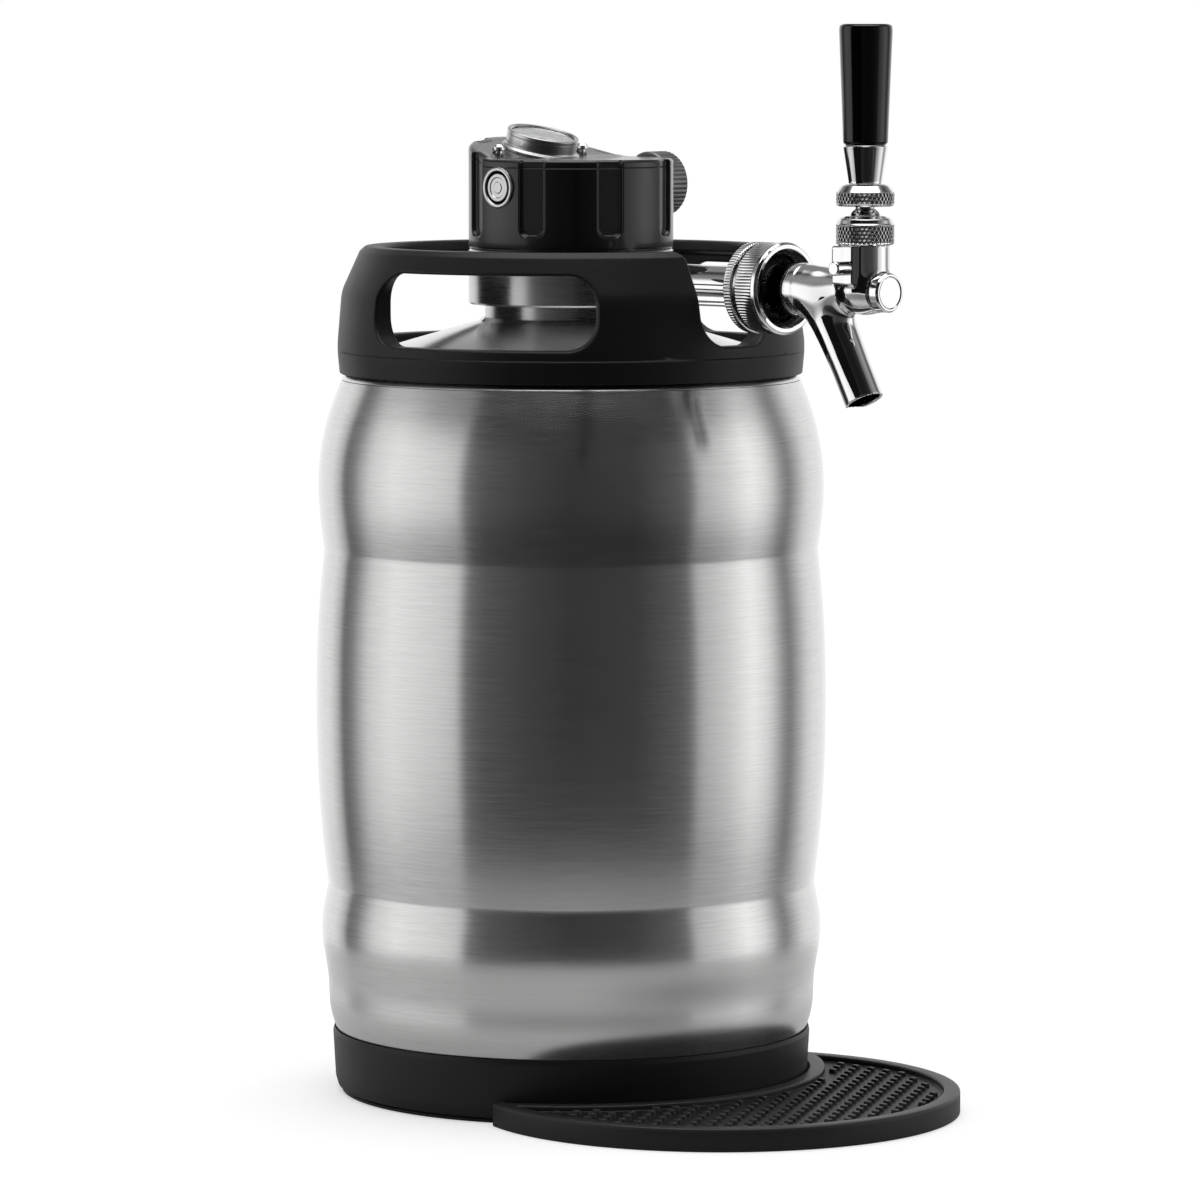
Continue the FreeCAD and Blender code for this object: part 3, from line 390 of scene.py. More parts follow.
def around_keg(b, grain_z, grain_round):
    """Place on a turned surface for brush lines: slow across X and Y, fast along height plus radius."""
    x, y, z = b.split(b.place())
    radius = (x * x + y * y).of("SQRT")
    return b.joined(x * grain_round, y * grain_round, (z + radius) * grain_z)


# Finishes


def brushed_steel():
    """Drawn stainless sheet: long fine lines round the keg, with cloudy patches where the belt pressed harder."""
    b = bench("brushed_steel_sheet")
    long_lines = b.noise(around_keg(b, 1700, 40), 1.0, 2.0, 0.6)
    fine_lines = b.noise(around_keg(b, 4200, 130), 1.0, 2.0, 0.6)
    clouds = b.noise(b.place(), 14.0, 3.0)
    lines = long_lines * 0.5 + fine_lines * 0.5
    tone = (lines - 0.5) * 1.7 + (clouds - 0.5) * 0.3 + 0.5
    return b.surface(
        Base_Color=b.tint(tone, (0.54, 0.54, 0.535), (0.72, 0.72, 0.715)),
        Metallic=1.0, Anisotropic=0.8, Anisotropic_Rotation=0.25,
        Roughness=lines * 0.10 + 0.15 + (clouds - 0.5) * 0.05,
        Normal=b.bump(lines, 0.00001, 0.25))


def turned_steel():
    """Machined steel of the neck and the ring under the housing, with fine turning lines."""
    b = bench("turned_steel")
    lines = b.noise(around_keg(b, 3000, 30), 1.0, 2.0)
    clouds = b.noise(b.place(), 40.0, 2.0)
    return b.surface(
        Base_Color=b.tint(lines, (0.52, 0.52, 0.52), (0.68, 0.68, 0.68)),
        Metallic=1.0, Anisotropic=0.6, Anisotropic_Rotation=0.25,
        Roughness=lines * 0.10 + 0.20 + clouds * 0.05,
        Normal=b.bump(lines, 0.00002, 0.3))


def chrome(name="chrome_plate", painted_shade_from=None, painted_shade_to=None):
    """Bright plate with a slight wave of the casting under it and faint wiping marks. Where two places along the tap
    are given, the colour is painted near-black back from the first towards the keg, fading out by the second: painted
    shade and painted dark reflection in the flare's recess."""
    b = bench(name)
    wipes = b.noise(b.place(), 60.0, 4.0, 0.6)
    wave = b.noise(b.place(), 180.0, 1.0)
    colour = b.tint(wipes, (0.78, 0.78, 0.785), (0.86, 0.86, 0.865))
    if painted_shade_from:
        # painted shade: inside the flare's recess, near the keg along the tap, the colour fades to near-black as
        # painted shade and painted dark reflection
        deep = b.split(b.place())[1].between(-painted_shade_to, -painted_shade_from)
        colour = b.tint(deep, colour, (0.045, 0.045, 0.047))
    return b.surface(
        Base_Color=colour, Metallic=1.0, Roughness=wipes.between(0.35, 0.75, 0.03, 0.08),
        Normal=b.bump(wave, 0.00003, 0.2))


def plain_metal(name, low, high, roughness, grain=900.0):
    """Satin metal with a fine even grain."""
    b = bench(name)
    grains = b.noise(b.place(), grain, 2.0)
    patches = b.noise(b.place(), 70.0, 2.0)
    return b.surface(
        Base_Color=b.tint(grains * 0.5 + patches * 0.5, low, high), Metallic=1.0,
        Roughness=(grains - 0.5) * 0.12 + (patches - 0.5) * 0.08 + roughness,
        Normal=b.bump(grains, 0.00003, 0.3))


def moulded(name, low, high, roughness, grain, depth, coat=0.0, spread=0.12, shine=0.3):
    """Moulded plastic, rubber or paint: fine grain in the bump and in the gloss, and soft patches of handling."""
    b = bench(name)
    grains = b.noise(b.place(), grain, 2.0, 0.6)
    patches = b.noise(b.place(), 32.0, 3.0)
    return b.surface(
        Base_Color=b.tint(grains * 0.55 + patches * 0.45, low, high),
        Roughness=(grains - 0.5) * spread + (patches - 0.5) * spread + roughness,
        Specular_IOR_Level=shine, Coat_Weight=coat, Coat_Roughness=0.08, Normal=b.bump(grains, depth, 0.6))


def stud_rubber():
    """Mat rubber: the same black, a little greyer on the tops of the studs and rim where it is rubbed and dusty."""
    b = bench("mat_rubber")
    z = b.split(b.place())[2]
    grains = b.noise(b.place(), 1300.0, 2.0, 0.6)
    patches = b.noise(b.place(), 45.0, 3.0)
    tops = z.between(0.0068, 0.0080)
    return b.surface(
        Base_Color=b.tint(tops * (patches * 0.6 + 0.3) + grains * 0.15, (0.004, 0.004, 0.0045), (0.03, 0.03, 0.032)),
        Roughness=(grains - 0.5) * 0.15 + 0.48 - tops * 0.06, Specular_IOR_Level=0.35,
        Normal=b.bump(grains, 0.00006, 0.6))


def lens_glass():
    """Clear window with a little dust that dulls it in spots."""
    b = bench("lens_glass")
    dust = b.noise(b.place(), 500.0, 3.0)
    return b.surface(
        Base_Color=(0.95, 0.96, 0.97, 1), Roughness=dust.between(0.5, 0.8, 0.02, 0.08), IOR=1.45,
        Transmission_Weight=1.0, Normal=b.bump(dust, 0.000005, 0.2))


STEEL = brushed_steel()
TURNED = turned_steel()
CHROME = chrome()
# Chrome of the faucet casting, with painted shade and painted dark reflection inside the flare's recess, from about
# 113.5 mm along the tap back to the keg
CAST_CHROME_PAINTED_SHADE = chrome("cast_chrome_painted_shade", 0.1135, 0.1185)
ALUMINIUM = plain_metal("satin_aluminium", (0.52, 0.52, 0.53), (0.66, 0.66, 0.67), 0.30)
KNOB_GREY = plain_metal("knob_grey", (0.17, 0.17, 0.175), (0.25, 0.25, 0.255), 0.42)
BRASS = plain_metal("valve_brass", (0.62, 0.46, 0.20), (0.78, 0.62, 0.33), 0.30)
BARE_STEEL = plain_metal("bare_steel", (0.50, 0.50, 0.50), (0.64, 0.64, 0.63), 0.32)
COLLAR_BLACK = moulded("satin_black_plastic", (0.006, 0.006, 0.0065), (0.013, 0.013, 0.014), 0.44, 1500.0, 0.00005)
HOUSING_BLACK = moulded(
    "satin_black_housing", (0.003, 0.003, 0.0033), (0.006, 0.006, 0.0065), 0.34, 1100.0, 0.000004, 0.5, 0.06, 0.35)
GRIP_BLACK = moulded(
    "gloss_black_grip", (0.002, 0.002, 0.0022), (0.004, 0.004, 0.0044), 0.14, 300.0, 0.000004, 0.3, 0.04)
BOOT_RUBBER = moulded("boot_rubber", (0.005, 0.005, 0.0055), (0.011, 0.011, 0.012), 0.45, 1200.0, 0.00006)
SEAL_RUBBER = moulded("seal_rubber", (0.014, 0.014, 0.014), (0.026, 0.026, 0.026), 0.55, 900.0, 0.00003)
MAT_RUBBER = stud_rubber()
NYLON = moulded("white_nylon", (0.78, 0.78, 0.75), (0.88, 0.88, 0.85), 0.45, 900.0, 0.00002)
DIAL_GREY = moulded("dial_paint", (0.56, 0.57, 0.58), (0.66, 0.67, 0.68), 0.5, 900.0, 0.00001)
DIAL_INK = moulded("dial_ink", (0.02, 0.02, 0.02), (0.04, 0.04, 0.04), 0.5, 900.0, 0.00001)
LENS = lens_glass()


# Keg


def keg_barrel():
    """Rolled barrel: three smooth curves through measured radii meet in two crisp grooves. The inside is the same
    profile a sheet's thickness further in."""
    foot = np.radians(np.linspace(-90, 0, 10))
    toe = np.stack([76 + 9.2 * np.cos(foot), 14.5 + 8.0 * np.sin(foot)], axis=1)
    low = smooth_curve([(85.2, 14.5), (88.5, 24.0), (90.4, 30.7), (91.15, 42.0), (93.45, 60.0), (90.95, 77.8)], 60)
    middle = smooth_curve([(90.95, 77.8), (92.8, 93.2), (95.25, 146.0), (94.0, 183.8), (92.1, 203.5)], 80)
    high = smooth_curve([(92.1, 203.5), (94.2, 223.0), (91.0, 251.2), (85.6, 266.6)], 50)
    side = np.concatenate([toe, low[1:], middle[1:], high[1:]])
    inside = side[::-1] - np.array([1.0, 0.0])
    inside[-1] = (75.0, 7.6)
    return Piece("keg_barrel").grid(turned(np.concatenate([side, inside]), 288)).made(
        STEEL, "keg", ["outer_barrel"], "brushed_steel", 20)


def shoulder_z(r):
    """Height of the shoulder's cone at a radius: a straight fall outwards from the neck."""
    return 289.2 - (r - 32.1) * 0.2876


def keg_shoulder():
    """Cone of sheet steel from the barrel's rim up to the neck, with its inside about 1.2 mm under it."""
    return Piece("keg_shoulder").lathe([
        (85.6, 266.7, 0.2), (81.4, 273.0, 4.0), (74.0, shoulder_z(74.0), 5.0), (34.6, shoulder_z(34.6), 2.0),
        (32.2, 290.4, 0.5), (32.2, 287.6, 0), (33.4, 287.2, 0), (73.4, shoulder_z(73.4) - 1.2, 4.0),
        (80.5, 272.4, 4.0), (84.6, 266.7, 0.2)], 288).made(STEEL, "keg", ["outer_shoulder"], "brushed_steel")


def keg_neck():
    """Neck ring with a rounded bead at its top."""
    return Piece("neck_ring").lathe([
        (28.0, 287.4, 0.2), (32.0, 287.4, 0.2), (32.1, 297.0, 0.7), (31.2, 297.9, 0.4), (28.0, 297.9, 0.4)]).made(
            TURNED, "keg", ["keg_neck"], "brushed_steel")


def keg_boot():
    """Rubber cup: foot ring, slit, rounded corner and a lip that thins to meet the steel."""
    return Piece("rubber_boot").lathe([
        (0, 0.0, 0), (60, 0.0, 1.0), (60.8, 0.6, 0.6), (70, 0.6, 0.6), (70.8, 0.0, 0.6), (86.3, 0.0, 0.5),
        (86.3, 1.15, 0.2), (85.2, 1.3, 0.1), (85.2, 1.8, 0.1), (87.6, 1.95, 0.9), (88.6, 5.4, 2.5), (89.55, 22.2, 0.7),
        (89.1, 23.9, 0.35), (88.85, 23.8, 0.1), (86.0, 15.4, 4), (83.4, 9.2, 5), (76.0, 6.15, 2), (0, 6.15, 0)],
        320, 7).made(BOOT_RUBBER, "keg", ["boot"], "black_rubber")


# Handle collar


def open_line(corners, steps=6):
    """Rounded outline from its first corner to its last."""
    return rounded(corners, steps)[steps + 1: -(steps + 1)]


def even_line(line, count):
    """The same line through evenly spaced points."""
    run = np.concatenate([[0], np.cumsum(np.linalg.norm(np.diff(line, axis=0), axis=1))])
    place = np.linspace(0, run[-1], count)
    return np.stack([np.interp(place, run, line[:, 0]), np.interp(place, run, line[:, 1])], axis=1)


def split_at(line, low, high):
    """Cuts an outline that falls to its foot and then rises into the runs below, between and above two heights. The
    run above is spaced evenly, so that the ring's outer and inner sides have as many points."""
    rise = line[np.argmin(line[:, 1]):]
    cuts = [np.array([[np.interp(h, rise[:, 1], rise[:, 0]), h]]) for h in (low, high)]
    below = line[line[:, 1] < low - 1e-6]
    between = rise[(rise[:, 1] > low + 1e-6) & (rise[:, 1] < high - 1e-6)]
    above = rise[rise[:, 1] > high + 1e-6]
    return (np.concatenate([below, cuts[0]]), np.concatenate([cuts[0], between, cuts[1]]),
            even_line(np.concatenate([cuts[1], above]), 44))


def collar_section():
    """The ring's section as outer and inner halves, each cut into a foot line, a wall line and a crown line of (r, z).
    The two halves meet in the middle of the foot and in the middle of the crown."""
    outer = open_line([
        (84.2, 271.0, 0), (86.15, 268.2, 0.8), (87.15, 278.6, 88.0), (85.4, 299.6, 16.0), (78.7, 314.4, 1.7),
        (76.6, COLLAR_TOP, 1.7), (75.0, COLLAR_TOP, 0), (73.4, COLLAR_TOP, 0)], 14)
    inner = open_line([
        (84.2, 271.0, 0), (82.2, 273.6, 0.4), (78.6, 276.5, 0.4), (78.6, 310.8, 0.8), (69.8, 312.4, 0.9),
        (69.8, COLLAR_TOP, 1.5), (73.4, COLLAR_TOP, 0)], 8)
    return split_at(outer, COLLAR_LOW, COLLAR_HIGH), split_at(inner, COLLAR_LOW, COLLAR_HIGH)


def ring_point(along, r, z):
    """A point at an arc length along a circle of the collar's size: its angle a is the length over the circle's radius,
    and it lies at (r sin a, -r cos a, z)."""
    angle, r, z = np.broadcast_arrays(along / COLLAR_SPAN, r, z)
    return np.stack([r * np.sin(angle), -r * np.cos(angle), z], axis=-1)


def wall_at(wall):
    """Gives the function from arc length and height to the point on a wall, whose radius is read off its line."""
    return lambda along, z: ring_point(along, np.interp(z, wall[:, 1], wall[:, 0]), z)


def foot_strip(piece, along, over, under):
    """Adds the strip of the ring between its outer and inner lines, at the given arc lengths."""
    strip = np.concatenate([over, under[::-1]])
    piece.grid(ring_point(along[:, None], strip[:, 0], strip[:, 1]), False, False)


def slot_side(s, half_run, half_rise, corner):
    """Lower side of a rounded rectangle by arc length, from the middle of one corner to the middle of the next."""
    straight = 2 * (half_run - corner)
    bow = corner * math.pi / 4
    run = s * (straight + 2 * bow)
    turn = (np.minimum(run - bow, 0) + np.maximum(run - bow - straight, 0)) / corner
    x = np.clip(run - bow, 0, straight) - straight / 2 + corner * np.sin(turn)
    return x, corner * (1 - np.cos(turn)) - half_rise


def slot_loop(across, up, grow):
    """The hand slot's outline grown by a distance, in as many points per side as the sector's edge has."""
    run, rise, corner = SLOT_RUN + grow, SLOT_RISE + grow, SLOT_CORNER + grow
    low = slot_side(across[:-1], run, rise, corner)
    right = slot_side(up[:-1], rise, run, corner)
    x = np.concatenate([low[0], -right[1], -low[0], right[1]])
    y = np.concatenate([low[1], right[0], -low[1], -right[0]])
    return x, y + SLOT_MIDDLE


def fillet_rows():
    """Distance from the edge and depth under the surface of a quarter round, from the surface to the wall."""
    turn = np.linspace(0, math.pi / 2, 6)
    return EDGE_ROUND * (1 - np.sin(turn)), EDGE_ROUND * (1 - np.cos(turn))


def sheet_rows(outer_at, inner_at, edge, line):
    """Rows from a sector's edge over the outer surface to an opening, round its two edges, and back on the inner
    surface. A row is a straight blend between the sector's edge and the opening's outline, and the rows of the rounded
    edge lie at the quarter circle's depth under the surface, on the straight way to the other surface."""
    grow, depth = fillet_rows()
    start = line(EDGE_ROUND)
    blend = np.linspace(0, 1, SHEET_ROWS)[:-1] ** 0.8
    flat = [tuple(e + (s - e) * q for e, s in zip(edge, start)) for q in blend]
    bent = [line(g) for g in grow]
    over, under = [], []
    for place in flat:
        over.append(outer_at(*place))
        under.append(inner_at(*place))
    for place, deep in zip(bent, depth):
        top, low = outer_at(*place), inner_at(*place)
        thick = np.linalg.norm(low - top, axis=-1, keepdims=True)
        share = np.minimum(deep / np.maximum(thick, 1e-9), 0.45)
        over.append(top + (low - top) * share)
        under.append(low + (top - low) * share)
    return np.stack(over + under[::-1], axis=1)


def collar_sector(piece, halves, low_angle, high_angle):
    """One sector of the ring round a hand slot: walls round the slot, and foot and crown strips."""
    outer, inner = halves
    columns, rows = SECTOR_COLUMNS, SECTOR_ROWS
    across, up = np.linspace(0, 1, columns), np.linspace(0, 1, rows)
    left, right = (math.radians(a) * COLLAR_SPAN for a in (low_angle, high_angle))
    along = np.linspace(left, right, columns)
    height = np.linspace(COLLAR_LOW, COLLAR_HIGH, rows)
    edge_x = np.concatenate([along[:-1], np.full(rows - 1, right), along[:0:-1], np.full(rows - 1, left)])
    edge_z = np.concatenate([
        np.full(columns - 1, COLLAR_LOW), height[:-1], np.full(columns - 1, COLLAR_HIGH), height[:0:-1]])

    def line(grow):
        """The slot's outline in the middle of the sector."""
        x, z = slot_loop(across, up, grow)
        return x + (left + right) / 2, z

    piece.grid(sheet_rows(wall_at(outer[1]), wall_at(inner[1]), (edge_x, edge_z), line), True, False)
    for part in (0, 2):
        foot_strip(piece, along, outer[part], inner[part])


def notch_half(z):
    """Half width of the tap's notch at a height, flaring in a quarter round at its mouth."""
    lift = np.clip(z - (COLLAR_TOP - NOTCH_MOUTH), 0, NOTCH_MOUTH)
    return 16.6 + 2.9 * (z - 283) / 33.0 + NOTCH_MOUTH - np.sqrt(NOTCH_MOUTH ** 2 - lift ** 2)


def notch_line(down, across, grow):
    """U outline grown by a distance: down one side, along the floor and up the other side. It is worked out with
    upright sides, and then widened at each height to the notch's width there."""
    corner = NOTCH_CORNER + grow
    floor = NOTCH_FLOOR - grow
    width = NOTCH_WIDTH
    straight = COLLAR_HIGH - floor - corner
    bow = corner * math.pi / 4
    run = down * (straight + bow)
    turn = np.maximum(run - straight, 0) / corner
    side_x = -(width + grow) + corner * (1 - np.cos(turn))
    side_z = COLLAR_HIGH - np.minimum(run, straight) - corner * np.sin(turn)
    low_x, low_z = slot_side(across, width + grow, 0, corner)
    x = np.concatenate([side_x[:-1], low_x, -side_x[-2::-1]])
    z = np.concatenate([side_z[:-1], low_z + floor, side_z[-2::-1]])
    return x * notch_half(z) / width, z


def collar_notch(piece, halves):
    """The sector with the tap's notch: walls round the U, crown strips at its two sides, and the foot strip."""
    outer, inner = halves
    down, across = np.linspace(0, 1, SECTOR_ROWS), np.linspace(0, 1, NOTCH_COLUMNS)
    along = np.linspace(-NOTCH_REACH, NOTCH_REACH, NOTCH_COLUMNS)
    height = np.linspace(COLLAR_HIGH, COLLAR_LOW, SECTOR_ROWS)
    side = np.full(SECTOR_ROWS - 1, NOTCH_REACH)
    edge_x = np.concatenate([-side, along, side])
    edge_z = np.concatenate([height[:-1], np.full(NOTCH_COLUMNS, COLLAR_LOW), height[-2::-1]])
    sheet = sheet_rows(
        wall_at(outer[1]), wall_at(inner[1]), (edge_x, edge_z), lambda grow: notch_line(down, across, grow))
    piece.grid(sheet, False, False)
    for sign in (-1, 1):
        def crown_at(line, sign=sign):
            """The function from the notch's growth and the share of the way to its edge to a crown line's points."""
            r, z = line.T
            return lambda grow, share: ring_point(
                sign * (NOTCH_REACH + (notch_half(z) + grow - NOTCH_REACH) * share), r, z)

        piece.grid(sheet_rows(
            crown_at(outer[2]), crown_at(inner[2]), (EDGE_ROUND, 0.0), lambda grow: (grow, 1.0)), False, False)
    foot_strip(piece, along, outer[0], inner[0])


def handle_collar():
    """The ring: three sectors with a hand slot each, and one with the tap's notch."""
    piece = Piece("handle_ring")
    halves = collar_section()
    for low_angle, high_angle in ((20, 120), (120, 240), (240, 340)):
        collar_sector(piece, halves, low_angle, high_angle)
    collar_notch(piece, halves)
    return piece.made(COLLAR_BLACK, "keg", ["handle_collar"], "satin_black", 30)


# Drip mat


def mat_outline(inset):
    """Crescent outline at an inset: the outer arc, a horn's end, the boot's arc bitten out of it, and the other end.
    The horn's end is where the two arcs meet, or the straight cut where that comes first."""
    outer, bite = MAT_R - inset, MAT_R + inset
    meet = -(bite ** 2 - outer ** 2 + MAT_Y ** 2) / (2 * MAT_Y)
    y = min(MAT_HORN - inset, meet)
    outer_x = math.sqrt(outer ** 2 - (y + MAT_Y) ** 2)
    bite_x = min(math.sqrt(bite ** 2 - y ** 2), outer_x)
    start = math.atan2(y + MAT_Y, outer_x)
    angle = np.linspace(start, -math.pi - start, 150)
    bow = math.atan2(y, bite_x)
    back = np.linspace(-math.pi - bow, bow, 150)
    arc = np.stack([outer * np.cos(angle), outer * np.sin(angle) - MAT_Y], axis=1)
    inner = np.stack([bite * np.cos(back), bite * np.sin(back)], axis=1)
    return arc, inner


def mat_ring(inset, height):
    """The outline at a height as one loop, with six points across each horn's end."""
    arc, inner = mat_outline(inset)
    s = np.linspace(0, 1, 7)[1:-1, None]
    loop = np.concatenate([arc, arc[-1] + (inner[0] - arc[-1]) * s, inner, inner[-1] + (arc[0] - inner[-1]) * s])
    return np.concatenate([loop, np.full((len(loop), 1), height)], axis=1)


def mat_sheet(inset, height):
    """Flat crescent between its two arcs, in rows from one to the other."""
    arc, inner = mat_outline(inset)
    s = np.linspace(0, 1, 7)[None, :, None]
    flat = arc[:, None] + (inner[::-1][:, None] - arc[:, None]) * s
    return np.concatenate([flat, np.full((*flat.shape[:2], 1), height)], axis=2)


def mat_studs():
    """Small chamfered oblong studs: columns across, each second one moved by half a pitch. One stud is rings of eight
    points, from its foot to the middle of its top."""
    column, row = np.meshgrid(np.arange(-14, 15), np.arange(-24, 25), indexing="ij")
    x = column.ravel() * STUD_PITCH[0]
    y = row.ravel() * STUD_PITCH[1] + (column.ravel() % 2) * (STUD_PITCH[1] / 2) - MAT_Y
    room = MAT_R - MAT_RIM - 2.6 - np.hypot(x, y + MAT_Y)
    room = np.minimum(room, np.hypot(x, y) - MAT_R - MAT_RIM - 2.6)
    x, y = x[room > 0], y[room > 0]
    corner = STUD_CORNER
    half_x, half_y = STUD_HALF
    shape = np.array([
        (half_x, -half_y + corner), (half_x, half_y - corner), (half_x - corner, half_y), (corner - half_x, half_y),
        (-half_x, half_y - corner), (-half_x, corner - half_y), (corner - half_x, -half_y), (half_x - corner, -half_y)])
    rings = [(1.12, 6.3), (1.0, 6.7), (0.94, 7.65), (0.74, 7.95), (0.0, 7.95)]
    stud = np.stack([np.concatenate([shape * k, np.full((8, 1), z)], axis=1) for k, z in rings], axis=1)
    centre = np.stack([x, y, np.zeros_like(x)], axis=1)
    return stud[None] + centre[:, None, None]


def drip_mat():
    """Crescent mat: bottom, side, rounded rim, a step down to the field, and the studs standing on the field."""
    turn = np.linspace(0, math.pi / 2, 5)
    lower = [(0.5 * (1 - math.sin(a)), 0.5 * (1 - math.cos(a))) for a in turn]
    upper = [(0.9 * (1 - math.cos(a)), MAT_H - 0.9 + 0.9 * math.sin(a)) for a in turn]
    step = [(MAT_RIM - 0.7 + 0.7 * math.sin(a), MAT_H - 0.7 + 0.7 * math.cos(a)) for a in turn]
    foot = [(MAT_RIM + 0.1, MAT_FIELD + 0.2), (MAT_RIM + 0.3, MAT_FIELD)]
    rings = np.stack([mat_ring(inset, z) for inset, z in lower + upper + step + foot], axis=1)
    piece = Piece("drip_mat_crescent").grid(rings, True, False)
    piece.grid(mat_sheet(MAT_RIM + 0.3, MAT_FIELD), False, False)
    piece.grid(mat_sheet(0.5, 0.0), False, False)
    piece.grid(mat_studs(), True, False)
    return piece.made(MAT_RUBBER, "mat", ["drip_mat"], "black_rubber", 34)


# Housing, gauge, knob and relief button


def roof_z(y):
    """Flat roof that turns into the ramp of the hump: half of t plus the root of t squared and a small width."""
    t = y - RAMP_START_Y
    return ROOF_Z + math.tan(GAUGE_TILT) * 0.5 * (t + np.sqrt(t * t + 4.0))


def housing_depth(angle, z):
    """How far the surface stands back: eight grip recesses with rounded feet, open at the top, and the well of the
    relief button. The recess is a rounded box distance turned into a soft step."""
    period = math.radians(45)
    swing = (angle - math.radians(22.5) + period / 2) % period - period / 2
    side = HEAD_R * np.sin(swing)
    qx = np.abs(side) - 1.5
    qz = RECESS_FOOT_Z - z
    away = np.minimum(np.maximum(qx, qz), 0) + np.hypot(np.maximum(qx, 0), np.maximum(qz, 0)) - RECESS_CORNER
    recess = (HEAD_R - RECESS_R / np.cos(swing)) * smooth_step(-away, -0.35, 0.75)
    well_side = HEAD_R * np.sin(angle - math.radians(270))
    near = (np.cos(angle - math.radians(270)) > 0) * 1.0
    well = smooth_step(-np.hypot(well_side, z - SIDE_Z), -6.95, -6.75) * near * 8.0
    return recess, well


def head_housing():
    """Cap of the head: the side is the round wall less the recesses, the roof is a grid of shrinking rings, and the
    same again inside. Columns crowd at the recesses' edges."""
    bounds, counts = (-22.5, -9.2, -6.0, 6.0, 9.2, 22.5), (9, 15, 17, 15, 9)
    fine = np.concatenate([np.linspace(a, b, n)[:-1] for a, b, n in zip(bounds, bounds[1:], counts)])
    angle = np.radians((fine[None] + 22.5 + 45 * np.arange(8)[:, None]).ravel())[:, None]
    round_r = HOUSING_RIM_ROUND
    top = roof_z(-(HEAD_R - round_r) * np.cos(angle))
    turn = np.linspace(0, math.pi / 2, 7)
    foot_round = 0.9
    low = HOUSING_FOOT_Z + foot_round * (1 - np.cos(turn))[None] + 0 * angle
    low_in = foot_round * (1 - np.sin(turn))[None] + 0 * angle
    line_at = top - round_r - 1.5
    body = HOUSING_WALL_Z + (line_at - 0.5 - HOUSING_WALL_Z) * np.linspace(0, 1, 84)[None, 1:]
    groove = line_at + np.array([[-0.25, -0.1, 0.0, 0.1, 0.25, 0.6]])
    groove_in = np.array([[0.0, 0.12, 0.16, 0.12, 0.0, 0.0]]) + 0 * angle
    rim = top - round_r + round_r * np.sin(turn)[None]
    rim_in = round_r * (1 - np.cos(turn))[None] + 0 * angle
    z = np.concatenate([low, body, groove, rim], axis=1)
    back = np.concatenate([low_in, 0 * body, groove_in, rim_in], axis=1)
    recess, well = housing_depth(angle, z)
    r = HEAD_R - recess - back - well
    shrink = np.linspace(1, 0, 26)[None, 1:]
    edge_r = r[:, -1:]
    roof_r = edge_r * shrink
    roof = roof_z(-roof_r * np.cos(angle))
    inside = np.s_[:, 14:90:3]
    inner_r = np.minimum(HOUSING_INNER_R, r - 1.4)[inside]
    inner_z = np.minimum(z[inside], top - 3.2)
    inner_roof_r = inner_r[:, -1:] * shrink
    inner_roof = roof_z(-inner_roof_r * np.cos(angle)) - 3.0
    sill_r = np.concatenate([inner_roof_r[:, ::-1], inner_r[:, ::-1], inner_r[:, :1]], axis=1)
    sill_z = np.concatenate([inner_roof[:, ::-1], inner_z[:, ::-1], HOUSING_FOOT_Z + 0 * angle], axis=1)
    all_r = np.concatenate([sill_r, r, roof_r], axis=1)
    all_z = np.concatenate([sill_z, z, roof], axis=1)
    grid = np.stack([all_r * np.sin(angle), -all_r * np.cos(angle), all_z], axis=-1)
    return Piece("head_housing").grid(grid, True, False).made(HOUSING_BLACK, "head", ["housing"], "satin_black", 38)


def housing_screws():
    """Two socket screws: the head is a lathe outline, and its socket's radius is a hexagon's, the flat distance over
    the cosine of the angle from the nearest flat."""
    piece = Piece("cap_screws")
    angle = np.arange(96) * TURN / 96
    flat = (angle + math.pi / 6) % (math.pi / 3) - math.pi / 6
    hexagon = 1.25 / np.cos(flat)
    high = float(roof_z(18.35)) + 2.25
    shell = rounded([
        (0, 309.4, 0), (1.38, 309.4, 0.3), (1.38, high - 2.2, 0.2), (2.3, high - 2.2, 0.2), (2.3, high, 0.35)], 5)
    outer = turned(shell[:-1], 96)
    socket = [(hexagon * 1.08, high), (hexagon, high - 0.12), (hexagon, high - 1.3), (hexagon * 0, high - 1.5)]
    hole = np.stack([
        np.stack([r * np.cos(angle), r * np.sin(angle), 0 * angle + z], axis=-1) for r, z in socket], axis=1)
    whole = np.concatenate([outer, hole], axis=1)
    for side in (-1, 1):
        piece.grid(whole + np.array([side * 21.85, 16.05, 0.0]), True, False)
    return piece.made(CHROME, "head", ["housing_screws"], "chrome")


